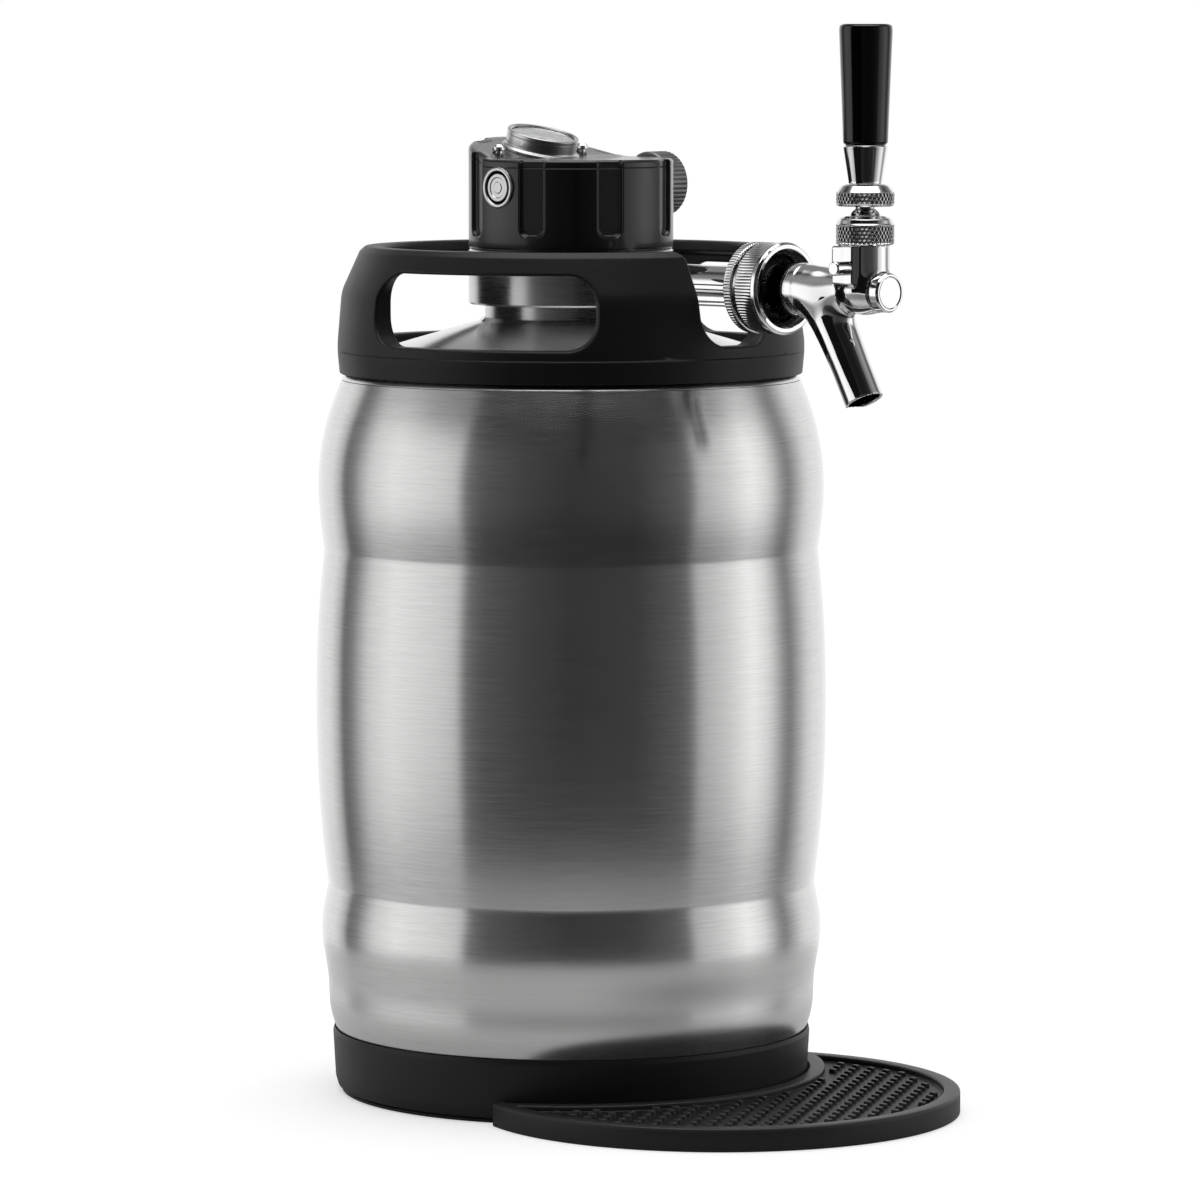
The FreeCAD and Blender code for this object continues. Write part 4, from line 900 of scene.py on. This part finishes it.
def gauge():
    """Gauge case with a low flange and a waist, its bezel, the glass, and the dial with its marks."""
    Piece("gauge_cup").lathe([
        (0, -4.5, 0), (13.4, -4.5, 0.4), (13.5, -0.1, 0), (14.6, 0.1, 0.1), (14.6, 0.9, 0.35), (13.35, 1.7, 1.0),
        (13.35, 5.55, 0.2), (12.4, 5.55, 0.1), (12.4, -3.3, 0.3), (0, -3.3, 0)], 192, 6, on_gauge).made(
            ALUMINIUM, "head", ["gauge_case"], "satin_aluminium")
    Piece("gauge_rim").lathe([
        (12.1, 5.6, 0.1), (13.5, 5.6, 0.15), (13.5, 7.2, 0.55), (12.3, 7.2, 0.3), (11.8, 6.5, 0.1)],
        192, 6, on_gauge).made(ALUMINIUM, "head", ["gauge_bezel"], "satin_aluminium")
    Piece("gauge_window").lathe([
        (0, 5.7, 0), (11.7, 5.7, 0.1), (11.7, 6.45, 0.15), (0, 6.45, 0)], 128, 4, on_gauge).made(
            LENS, "head", ["gauge_glass"], "gauge_lens")
    Piece("gauge_gasket").lathe([
        (11.72, 5.62, 0.1), (12.05, 5.62, 0.1), (11.85, 6.55, 0.1), (11.72, 6.6, 0.1)], 128, 4, on_gauge).made(
            SEAL_RUBBER, "head", [], "seal_rubber")
    Piece("gauge_face").lathe([
        (0.86, 2.6, 0), (12.2, 2.6, 0.05), (12.2, 3.2, 0.15), (0.86, 3.2, 0)], 128, 4, on_gauge).made(
            DIAL_GREY, "head", ["gauge_dial"], "dial_grey")
    dial_marks()


def dial_marks():
    """Printed scale: bars along the radius over 270 degrees, each fifth one longer, an arc line, and plain numbers."""
    piece = Piece("gauge_marks")
    step = np.arange(31)
    way = np.radians(225 - 9 * step)
    long_one = (step % 5 == 0).astype(float)
    near, far, half = 9.6 - 1.2 * long_one, 11.0 + 0 * way, 0.07 + 0.08 * long_one
    edge = np.stack([near, far, far, near], axis=1)[:, :, None]
    side = np.stack([-half, -half, half, half], axis=1)[:, :, None]
    c, s = np.cos(way)[:, None, None], np.sin(way)[:, None, None]
    flat = np.concatenate([edge * c - side * s, edge * s + side * c], axis=2)
    middle = flat.mean(1, keepdims=True)
    rings = [np.concatenate([middle + (flat - middle) * k, np.full((31, 4, 1), z)], axis=2)
             for k, z in ((0, INK_LOW), (1, INK_LOW), (1, INK_HIGH), (0, INK_HIGH))]
    piece.grid(on_gauge(np.stack(rings, axis=2)), True, False)
    piece.lathe([(10.9, INK_LOW, 0), (11.1, INK_LOW, 0), (11.1, INK_HIGH, 0), (10.9, INK_HIGH, 0)], 128, 2, on_gauge)
    mesh = piece.made(DIAL_INK, "head", [], "dial_grey").data
    work = bmesh.new()
    work.from_mesh(mesh)
    for index in range(7):
        text = bpy.data.curves.new("number", "FONT")
        text.body = str(index * 10)
        text.size = 2.3
        text.align_x = text.align_y = "CENTER"
        text.extrude = 0.03
        text.resolution_u = 3
        carrier = bpy.data.objects.new("number", text)
        bpy.context.scene.collection.objects.link(carrier)
        bpy.context.view_layer.update()
        letters = bpy.data.meshes.new_from_object(carrier.evaluated_get(bpy.context.evaluated_depsgraph_get()))
        bpy.data.objects.remove(carrier)
        bpy.data.curves.remove(text)
        points = np.zeros(len(letters.vertices) * 3)
        letters.vertices.foreach_get("co", points)
        angle = math.radians(225 - 45 * index)
        points = points.reshape(-1, 3) + np.array([6.9 * math.cos(angle), 6.9 * math.sin(angle), 3.21])
        letters.vertices.foreach_set("co", (on_gauge(points) * MM).ravel())
        work.from_mesh(letters)
        bpy.data.meshes.remove(letters)
    work.to_mesh(mesh)
    work.free()


def gauge_needle():
    """Tapered pointer with a tail, a domed hub and the arbor under it."""
    piece = Piece("gauge_pointer")
    turn = math.radians(135)
    outline = np.array([(-0.75, -3.2), (0.75, -3.2), (0.42, 0.0), (0.10, 9.6), (-0.10, 9.6), (-0.42, 0.0)])
    middle = np.array([0.0, 2.0])
    rings = [(0, 3.75), (1, 3.75), (1, 4.1), (0.9, 4.2), (0, 4.2)]
    pointer = np.stack([np.concatenate([middle + (outline - middle) * k, np.full((6, 1), z)], axis=1)
                        for k, z in rings], axis=1)
    c, s = math.cos(turn), math.sin(turn)
    pointer = np.stack([pointer[..., 0] * c - pointer[..., 1] * s, pointer[..., 0] * s + pointer[..., 1] * c,
                        pointer[..., 2]], axis=-1)
    piece.grid(on_gauge(pointer), True, False)
    piece.lathe([(0, -0.5, 0), (0.8, -0.5, 0.1), (0.8, 3.4, 0), (1.4, 3.4, 0.1), (1.4, 4.6, 0.5), (0, 4.6, 0)],
                64, 5, on_gauge)
    return piece.made(DIAL_INK, "needle", ["gauge_needle"], "gloss_black")


def ribbed(corners, ribs, depth, low, high, per_rib=8, steps=6, place=stay):
    """Lathe outline whose radius is cut by straight ribs between two heights: less the depth times one less the root of
    the rib wave's size."""
    line = rounded(corners, steps)
    angle = np.arange(ribs * per_rib) * TURN / (ribs * per_rib)
    wave = np.abs(np.sin(angle * ribs / 2))[:, None]
    r, z = line[:, 0], line[:, 1]
    cut = smooth_step(z, low, low + 0.5) * (1 - smooth_step(z, high - 0.5, high)) * (r > 0.7 * r.max())
    radius = r[None] - depth * cut[None] * (1 - wave ** 0.6)
    return place(np.stack([radius * np.cos(angle)[:, None], radius * np.sin(angle)[:, None],
                           np.broadcast_to(z, radius.shape)], axis=-1))


def knurled(corners, teeth, depth, low, high, rows, steps=6):
    """Lathe outline with a diamond knurl between two heights. Two sets of spiral grooves cross, and the height of the
    knurl is the smaller of their two waves."""
    line = rounded(corners, steps)
    belt = np.linspace(low, high, rows)
    side = np.argmax(line[:, 0])
    upright = (np.abs(line[:, 0] - line[side, 0]) < 0.02) & (line[:, 1] >= low - 0.02) & (line[:, 1] <= high + 0.02)
    place = np.flatnonzero(upright)
    start, end = place.min(), place.max()
    line = np.concatenate([line[:start], np.stack([np.full(rows, line[side, 0]), belt], axis=1), line[end + 1:]])
    count = teeth * 8
    angle = (np.arange(count) * TURN / count)[:, None]
    r, z = line[:, 0][None], line[:, 1][None]
    climb = z * teeth / (TURN * line[side, 0]) * 0.62
    first = np.abs((angle * teeth / TURN + climb) % 1 - 0.5) * 2
    second = np.abs((angle * teeth / TURN - climb) % 1 - 0.5) * 2
    belt_part = smooth_step(z, low, low + 0.35) * (1 - smooth_step(z, high - 0.35, high)) * (r > 0.97 * r.max())
    radius = r - depth * belt_part * (1 - np.minimum(first, second))
    return np.stack([radius * np.cos(angle), radius * np.sin(angle), np.broadcast_to(z, radius.shape)], axis=-1)


def regulator_knob():
    """Ribbed knob with a shallow dish in its face."""
    grid = ribbed([
        (0, 40.4, 0), (11.6, 40.4, 0.5), (12.1, 41.0, 0.3), (12.2, 49.9, 0.4), (11.3, 50.5, 0.5), (10.2, 50.5, 0.2),
        (9.9, 50.15, 0.2), (0, 50.15, 0)], 40, 0.5, 41.0, 50.2, 10, 6, on_right)
    return Piece("pressure_knob").grid(grid).made(KNOB_GREY, "knob", ["regulator_knob"], "satin_aluminium", 40)


def relief_button():
    """Metal ring in the housing's well, and the push button in it with a ring groove."""
    Piece("relief_bezel").lathe([
        (6.1, 32.1, 0.2), (7.6, 32.1, 0.2), (7.6, 38.3, 0.25), (7.1, 38.6, 0.25), (6.35, 38.6, 0.2), (6.1, 38.3, 0.2)],
        160, 5, on_left).made(ALUMINIUM, "head", ["relief_ring"], "satin_aluminium")
    Piece("relief_push").lathe([
        (0, 20.0, 0), (1.6, 20.0, 0.3), (1.6, 33.6, 0), (5.1, 33.6, 0.2), (5.2, 38.35, 0.3), (3.9, 38.4, 0.1),
        (3.6, 38.1, 0.15), (2.2, 38.1, 0.15), (1.9, 38.35, 0.1), (0, 38.35, 0)], 128, 5, on_left).made(
            ALUMINIUM, "relief", ["relief_button"], "satin_aluminium")


# Tap


def tap_line():
    """Shank, lock ring, coupling nut and front plug along the tap, and the stop pin across it."""
    Piece("tap_shank").lathe([
        (4.5, 33.5, 0.2), (7.55, 33.5, 0.3), (7.55, 92.6, 0.6), (9.2, 92.9, 0.5), (9.6, 93.55, 0.3), (9.6, 94.3, 0),
        (14.1, 94.3, 0.2), (14.1, 103.0, 0.3), (4.5, 103.0, 0.2)], 192, 6, on_tap_line).made(
            CHROME, "head", ["shank"], "chrome")
    ring = ribbed([
        (7.7, 93.6, 0.1), (15.9, 93.6, 0.5), (16.6, 94.0, 0.35), (16.6, 97.2, 0.35), (16.1, 97.6, 0.3), (14.3, 97.6, 0),
        (14.3, 94.2, 0), (7.7, 94.2, 0)], 86, 0.36, 93.9, 97.5, 8, 5, on_tap_line)
    Piece("tap_lock_ring").grid(ring).made(CHROME, "head", ["shank_lock_ring"], "chrome", 50)
    nut = ribbed([
        (14.45, 99.2, 0.1), (15.9, 99.2, 0.5), (16.6, 99.7, 0.35), (16.6, 107.4, 0.2), (16.75, 107.7, 0.2),
        (16.75, 109.3, 0.7), (15.9, 110.2, 0.6), (14.4, 110.2, 0.4), (13.3, 108.4, 0.5), (12.7, 105.95, 0.2),
        (14.45, 105.95, 0)], 86, 0.42, 99.5, 107.4, 8, 6, on_tap_line)
    Piece("tap_coupling_nut").grid(nut).made(CHROME, "head", ["coupling_nut"], "chrome", 50)
    Piece("tap_front_plug").lathe([
        (0, 154.6, 0), (5.0, 154.6, 0.3), (5.0, 155.55, 0), (6.7, 155.6, 0.3), (7.1, 156.6, 0.5), (7.1, 159.6, 0.5),
        (6.6, 160.4, 0.4), (5.9, 160.4, 0.3), (5.45, 160.0, 0.2), (5.3, 160.15, 0.1), (0, 160.15, 0)],
        160, 6, on_tap_line).made(CHROME, "head", ["front_plug"], "chrome")

    Piece("tap_stop_pin").lathe([
        (0, 6.3, 0), (2.0, 6.3, 0), (2.0, 9.65, 0), (2.55, 9.75, 0.1), (2.55, 16.4, 0.35), (2.1, 16.8, 0.25),
        (0, 16.8, 0)], 96, 6, on_boss).made(CHROME, "head", ["stop_pin"], "chrome")


def soft_least(a, b, width):
    """Smaller of two distances, run together over a width by a quadratic: with h from 0 to 1 across the width, it is
    their mix by h less width h (1 - h)."""
    h = np.clip(0.5 + 0.5 * (b - a) / width, 0, 1)
    return b * (1 - h) + a * h - width * h * (1 - h)


def less(a, b, width):
    """What of a lies outside b, with a rounded edge."""
    return -soft_least(-a, b, width)


def box_distance(x, y, z, low, high, corner):
    """Signed distance to a box with rounded edges: the length of what lies past the shrunk box, less the corner."""
    middle = [(a + b) / 2 for a, b in zip(low, high)]
    half = [(b - a) / 2 - corner for a, b in zip(low, high)]
    q = [np.abs(v - m) - h for v, m, h in zip((x, y, z), middle, half)]
    out = np.sqrt(sum(np.maximum(v, 0) ** 2 for v in q))
    return out + np.minimum(np.maximum(np.maximum(q[0], q[1]), q[2]), 0) - corner


def round_bar(across, along, radius, low, high, corner):
    """Signed distance to a cylinder with rounded ends, from the distance to its axis and the place along it, in the
    same way as a box's."""
    q = across - radius + corner
    v = np.abs(along - (low + high) / 2) - (high - low) / 2 + corner
    return np.hypot(np.maximum(q, 0), np.maximum(v, 0)) + np.minimum(np.maximum(q, v), 0) - corner


SPOUT_LINE = smooth_curve([
    (118.0, 303.2), (123.4, 302.0), (129.0, 297.2), (134.0, 290.0), (138.5, 282.2), (148.1, 264.4)], 17)


def spout_place(x, u, z):
    """Distance to the spout's middle line and the share of its length, as the least over the line's short runs."""
    best = np.full(x.shape, 1e9)
    share = np.zeros(x.shape)
    for index, (a, b) in enumerate(zip(SPOUT_LINE[:-1], SPOUT_LINE[1:])):
        run = b - a
        t = ((u - a[0]) * run[0] + (z - a[1]) * run[1]) / (run @ run)
        t = np.clip(t, 0, 1 if index < len(SPOUT_LINE) - 2 else 9)
        away = np.sqrt(x ** 2 + (u - a[0] - t * run[0]) ** 2 + (z - a[1] - t * run[1]) ** 2)
        nearer = away < best
        best = np.where(nearer, away, best)
        share = np.where(nearer, (index + t) / (len(SPOUT_LINE) - 1), share)
    return best, share


def casting_distance(p):
    """Signed distance to the faucet's casting: flange, flare, barrel, capsule tower, side boss and curved spout run
    together with soft joints, less its bores and the wedge that the lever's tail swings in. The flare's radius falls
    with the square of the place along it."""
    x, u, z = p[:, 0], -p[:, 1], p[:, 2]
    rho = np.hypot(x, z - TAP_Z)
    flange = round_bar(rho, u, 13.9, 104.05, 105.85, 0.2)
    s = np.clip((118.8 - u) / 13.0, 0, 1)
    flare = np.maximum((rho - 8.0 - 4.1 * s ** 2.0) * 0.8, np.maximum(105.0 - u, u - 119.0))
    barrel = round_bar(rho, u, 7.15, 105.0, 155.5, 0.35) - 1.1 * (1 - smooth_step(u, 128.0, 146.0))
    line = np.hypot(x, u - TAP_AXIS)
    tower = np.hypot(line, np.minimum(z - 304.8, 0)) - 8.95
    tower = np.maximum(tower, z - 320.2)
    away, share = spout_place(x, u, z)
    spout = away - 7.0 - 0.9 * (1 - smooth_step(share, 0.2, 0.8))
    tip = SPOUT_LINE[-1] - SPOUT_LINE[-2]
    tip = tip / np.linalg.norm(tip)
    end = (u - SPOUT_LINE[-1][0]) * tip[0] + (z - SPOUT_LINE[-1][1]) * tip[1]
    boss = box_distance(x, u, z, (-9.7, 140.6, 306.2), (0.0, 151.0, 320.0), 0.7)
    whole = soft_least(flange, flare, 0.6)
    whole = soft_least(whole, barrel, 1.0)
    whole = soft_least(whole, np.maximum(spout, end), 6.0)
    whole = soft_least(whole, tower, 3.2)
    whole = soft_least(whole, boss, 1.6)
    whole = less(whole, away - np.where(share > 0.5, 6.0, 4.5), 0.5)
    whole = less(whole, round_bar(line, z, 6.45, 301.0, 325.0, 0.5), 0.4)
    whole = less(whole, round_bar(rho, u, 6.0, 100.0, 117.5, 0.5), 0.4)
    whole = less(whole, round_bar(rho, u, 4.5, 110.0, 160.0, 0.3), 0.3)
    whole = less(whole, np.maximum(rho - 7.3, 155.52 - u), 0.2)
    behind = (TAP_AXIS - u - 2.1 - 0.334 * (LEVER_BALL_Z - z)) * 0.95
    swing_room = np.maximum.reduce([np.abs(x) - 2.0, behind, u - TAP_AXIS, 302.5 - z, z - 323.0])
    return less(whole, swing_room, 0.15)


def skin_of(distance, low, high, step):
    """Quads on the zero level of a distance: one point in each cell that the surface crosses, at the mean of the
    crossings on its twelve edges, and one quad round each grid edge that it crosses. The points then slide down the
    distance's slope until they lie on the surface."""
    axes = [np.arange(a, b + step, step) for a, b in zip(low, high)]
    grid = np.stack(np.meshgrid(*axes, indexing="ij"), axis=-1)
    shape = grid.shape[:3]
    value = distance(grid.reshape(-1, 3)).reshape(shape)
    inside = value < 0
    cells = tuple(n - 1 for n in shape)
    total, crossings = np.zeros((*cells, 3)), np.zeros(cells)
    for axis in range(3):
        others = [a for a in range(3) if a != axis]
        for first in (0, 1):
            for second in (0, 1):
                shift = [0, 0, 0]
                shift[others[0]], shift[others[1]] = first, second
                here = tuple(slice(k, k + n) for k, n in zip(shift, cells))
                shift[axis] = 1
                there = tuple(slice(k, k + n) for k, n in zip(shift, cells))
                cross = inside[here] != inside[there]
                share = np.where(cross, value[here] / np.where(cross, value[here] - value[there], 1), 0)
                point = grid[here] + share[..., None] * (grid[there] - grid[here])
                total += point * cross[..., None]
                crossings += cross
    live = crossings > 0
    number = np.full(cells, -1)
    number[live] = np.arange(live.sum())
    points = total[live] / crossings[live][:, None]
    faces = []
    for axis in range(3):
        others = [a for a in range(3) if a != axis]
        body = [slice(None)] * 3
        body[axis] = slice(0, cells[axis])
        ahead = list(body)
        ahead[axis] = slice(1, cells[axis] + 1)
        cross = inside[tuple(body)] != inside[tuple(ahead)]
        trim = [slice(None)] * 3
        for other in others:
            trim[other] = slice(1, cells[other])
        where = np.argwhere(cross[tuple(trim)])
        where[:, others] += 1
        ring = []
        for first, second in ((0, 0), (1, 0), (1, 1), (0, 1)):
            place = where.copy()
            place[:, others[0]] -= first
            place[:, others[1]] -= second
            ring.append(number[tuple(place.T)])
        faces.append(np.stack(ring, axis=1))
    faces = np.concatenate(faces)
    nudge = 0.02
    for _ in range(6):
        here = distance(points)
        slope = np.stack([(distance(points + nudge * way) - distance(points - nudge * way)) / (2 * nudge)
                          for way in np.eye(3)], axis=1)
        move = here[:, None] * slope / np.maximum((slope ** 2).sum(1, keepdims=True), 0.2)
        points = points - np.clip(move, -0.4 * step, 0.4 * step)
    return points, faces


def faucet_casting():
    """The skin of the casting's distance, in cells of 0.46 mm over its box."""
    skin = skin_of(casting_distance, (-14.4, -157.6, 262.0), (14.4, -103.4, 321.2), 0.46)
    return Piece("tap_casting").add(*skin).made(CAST_CHROME_PAINTED_SHADE, "head", ["faucet_body"], "chrome", 50)


def tap_top():
    """Bonnet, lever, its knurled collar, the ferrule and the grip, all turned about the tap's upright axis."""
    bonnet = knurled([
        (7.25, 320.3, 0.1), (10.0, 320.3, 0.3), (10.55, 320.7, 0.2), (10.55, 327.5, 0.3), (10.2, 328.0, 0.3),
        (9.6, 329.6, 1.2), (7.6, 330.6, 1.2), (6.2, 330.6, 0.3), (6.2, 328.6, 0.3), (7.25, 327.6, 0.3)],
        KNURL_TEETH, KNURL_DEPTH, 320.75, 327.45, 64)
    Piece("tap_bonnet").grid(on_tap_axis(bonnet)).made(CHROME, "head", ["bonnet"], "chrome", 60)
    turn = np.linspace(math.radians(-75), math.radians(58), 26)
    ball = np.stack([LEVER_BALL_R * np.cos(turn), LEVER_BALL_Z + LEVER_BALL_R * np.sin(turn)], axis=1)
    tail = np.array([(0, 301.8), (0.9, 302.0), (1.5, 302.6), (1.7, 303.4), (1.7, 319.8), (1.75, 320.5)])
    stem = np.array([(3.5, 333.3), (3.5, 336.4), (2.5, 336.45), (2.5, 371.6), (2.1, 372.0), (0, 372.0)])
    line = np.concatenate([tail, ball, stem])
    Piece("tap_lever").grid(on_tap_axis(turned(line, 160)), True, False).made(CHROME, "lever", ["lever"], "chrome")
    collar = knurled([
        (2.6, 336.6, 0.05), (3.6, 336.6, 0.05), (3.6, 334.2, 0.2), (9.7, 334.0, 0.3), (10.55, 334.6, 0.25),
        (10.55, 339.0, 0.3), (8.7, 341.3, 0.6), (7.6, 341.85, 0.3), (2.6, 341.85, 0.1)],
        KNURL_TEETH, KNURL_DEPTH, 334.7, 338.95, 42)
    Piece("lever_collar_ring").grid(on_tap_axis(collar)).made(CHROME, "lever", ["lever_collar"], "chrome", 60)
    Piece("grip_ferrule").lathe([
        (2.6, 341.9, 0.1), (6.05, 341.9, 0.3), (6.1, 342.8, 0.3), (7.9, 354.3, 0.4), (8.03, 355.1, 0.3),
        (7.7, 355.7, 0.25), (2.6, 355.7, 0.1)], 192, 6, on_tap_axis).made(CHROME, "lever", ["ferrule"], "chrome")
    Piece("lever_grip").lathe([
        (2.6, 355.75, 0.1), (7.3, 355.75, 0.1), (7.3, 356.1, 0.1), (7.75, 356.2, 0.3), (8.05, 356.9, 0.4),
        (8.2, 362.0, 8.0), (9.55, 396.4, 5.0), (9.35, 398.1, 1.1), (8.2, 398.68, 0.8), (0, 398.68, 0), (0, 372.2, 0),
        (2.6, 372.2, 0.1)], 224, 7, on_tap_axis).made(GRIP_BLACK, "lever", ["grip"], "gloss_black")


# What stays as the frame has it


NODE_FINISH = {
    "base_plate": STEEL, "inner_vessel": BARE_STEEL, "manifold": TURNED, "neck_gasket": SEAL_RUBBER,
    "plug_o_ring": SEAL_RUBBER, "dip_tube": BARE_STEEL, "check_valve": SEAL_RUBBER, "piercing_pin": BARE_STEEL,
    "piercing_seal": SEAL_RUBBER, "co2_sleeve": ALUMINIUM, "co2_cartridge": BARE_STEEL, "bourdon_tube": BRASS,
    "gauge_stem": BRASS, "regulator_body": BRASS, "regulator_nut": BRASS, "piston": BRASS,
    "piston_o_ring": SEAL_RUBBER, "regulator_spring": BARE_STEEL, "spring_seat": BRASS, "knob_spindle": BARE_STEEL,
    "relief_spring": BARE_STEEL, "relief_valve": BRASS, "shank_washer": SEAL_RUBBER, "valve_shaft": BARE_STEEL,
    "seat_washer": SEAL_RUBBER, "ball_seat": NYLON}


def finish_frame_nodes():
    """Nodes that no piece replaces keep their shape and get a finish of their kind."""
    for name, finish in NODE_FINISH.items():
        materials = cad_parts[name].data.materials
        materials.clear()
        materials.append(finish)


# Studio


# Light round the object: azimuth in degrees from the front, and strength
LIGHT_PEAK = 1.5
LIGHT_RING = [
    (-180, 1.0), (-140, 1.0), (-130, 0.62), (-126, 0.15), (-117, 0.30), (-104, 0.95), (-89, 1.22), (-62, 0.98),
    (-53, 0.85), (-49, 0.20), (-40, 0.12), (-20, 0.07), (0, 0.045), (30, 0.06), (50, 0.14), (56, 0.20), (60, 0.66),
    (75, 0.95), (90, 1.40), (100, 1.10), (111, 0.42), (117, 0.25), (125, 0.55), (134, 0.9), (142, 1.0), (180, 1.0)]


def studio_world():
    """Studio round the object, by direction. Azimuth is measured from the front: dark in front, a tall soft light at
    either side with a sharp front edge, white behind, and an overhead light. The camera sees plain white."""
    world = bpy.data.worlds.new("studio")
    bpy.context.scene.world = world
    b = Bench(world)
    x, y, z = b.split(b.node("ShaderNodeTexCoord", out="Generated"))
    ahead = (x + y) * -DIAGONAL
    aside = (x - y) * DIAGONAL
    azimuth = b.node("ShaderNodeMath", {"operation": "ARCTAN2"}, {0: aside, 1: ahead}) / TURN + 0.5
    ring = b.node("ShaderNodeValToRGB", {"stops": [
        (a / 360 + 0.5, (*[v / LIGHT_PEAK] * 3, 1)) for a, v in LIGHT_RING]}, {"Fac": azimuth}, out="Color")
    level = b.node("ShaderNodeSeparateColor", sockets={0: ring}, out=0) * LIGHT_PEAK
    low_edge, high_edge = z.between(-0.34, -0.16), 1 - z.between(0.30, 0.52)
    above = z.between(0.80, 0.90)
    light = level * (low_edge * high_edge * 0.75 + 0.25) * (1 - above) + above * 2.8
    seen = b.node("ShaderNodeLightPath", out="Is Camera Ray")
    strength = light * (1 - seen) + seen
    shader = b.node("ShaderNodeBackground", sockets={"Color": (1, 1, 1, 1), "Strength": strength})
    b.node("ShaderNodeOutputWorld", sockets={"Surface": shader})


def stage_piece(piece, finish):
    """A piece of the stage, which isn't part of the object."""
    thing = piece.linked(finish)
    return thing


def studio_floor():
    """Pale floor round the object that holds its shadow and fades out into the white backdrop."""
    b = bench("pale_floor")
    x, y, _ = b.split(b.place())
    away = (x * x + y * y).of("SQRT")
    speck = b.noise(b.place(), 30.0, 2.0)
    matt = b.node("ShaderNodeBsdfDiffuse", sockets={"Color": b.tint(speck, (0.62, 0.62, 0.62), (0.64, 0.64, 0.64))})
    seen = b.node("ShaderNodeLightPath", out="Is Camera Ray")
    glow = b.node("ShaderNodeEmission", sockets={"Color": (1, 1, 1, 1), "Strength": seen * 0.50})
    both = b.node("ShaderNodeAddShader", sockets={0: matt, 1: glow})
    clear = b.node("ShaderNodeBsdfTransparent")
    faded = b.node("ShaderNodeMixShader", sockets={0: away.between(0.20, 0.44), 1: both, 2: clear})
    b.node("ShaderNodeOutputMaterial", sockets={"Surface": faded})
    spread = turned(np.stack([np.linspace(0, 620, 12), np.full(12, -0.1)], axis=1), 96)
    stage_piece(Piece("floor").grid(spread, True, False), b.owner)


def dark_card():
    """Black card between the lights and the tap, out of the camera's sight, that draws dark lines into the chrome."""
    b = bench("black_card")
    colour = b.tint(b.noise(b.place(), 50.0, 2.0), (0.01, 0.01, 0.01), (0.015, 0.015, 0.015))
    shader = b.node("ShaderNodeBsdfDiffuse", sockets={"Color": colour})
    b.node("ShaderNodeOutputMaterial", sockets={"Surface": shader})
    ahead, height = np.meshgrid(np.linspace(138.0, 330.0, 3), np.linspace(284.0, 470.0, 3), indexing="ij")
    aside = 20.0
    flat = np.stack([DIAGONAL * aside - DIAGONAL * ahead, -DIAGONAL * aside - DIAGONAL * ahead, height], axis=-1)
    card = stage_piece(Piece("black_card").grid(flat, False, False), b.owner)
    card.visible_camera = False


def camera():
    """Long lens in front of the keg and to its left, a little above it and looking slightly down."""
    lens = bpy.data.cameras.new("camera")
    lens.lens = 192.9
    lens.sensor_width = 36
    lens.clip_start = 0.05
    lens.clip_end = 60
    stand = bpy.data.objects.new("camera", lens)
    stand.location = (-1.6942, -1.6942, 0.402)
    stand.rotation_euler = (math.radians(90 - 5.204), 0, math.radians(-45.258))
    bpy.context.scene.collection.objects.link(stand)
    bpy.context.scene.camera = stand


# Everything is made here


keg_barrel()
keg_shoulder()
keg_neck()
keg_boot()
handle_collar()
drip_mat()
head_housing()
housing_screws()
gauge()
gauge_needle()
regulator_knob()
relief_button()
tap_line()
faucet_casting()
tap_top()
finish_frame_nodes()
studio_world()
studio_floor()
dark_card()
camera()
bpy.context.scene.view_settings.view_transform = "Standard"
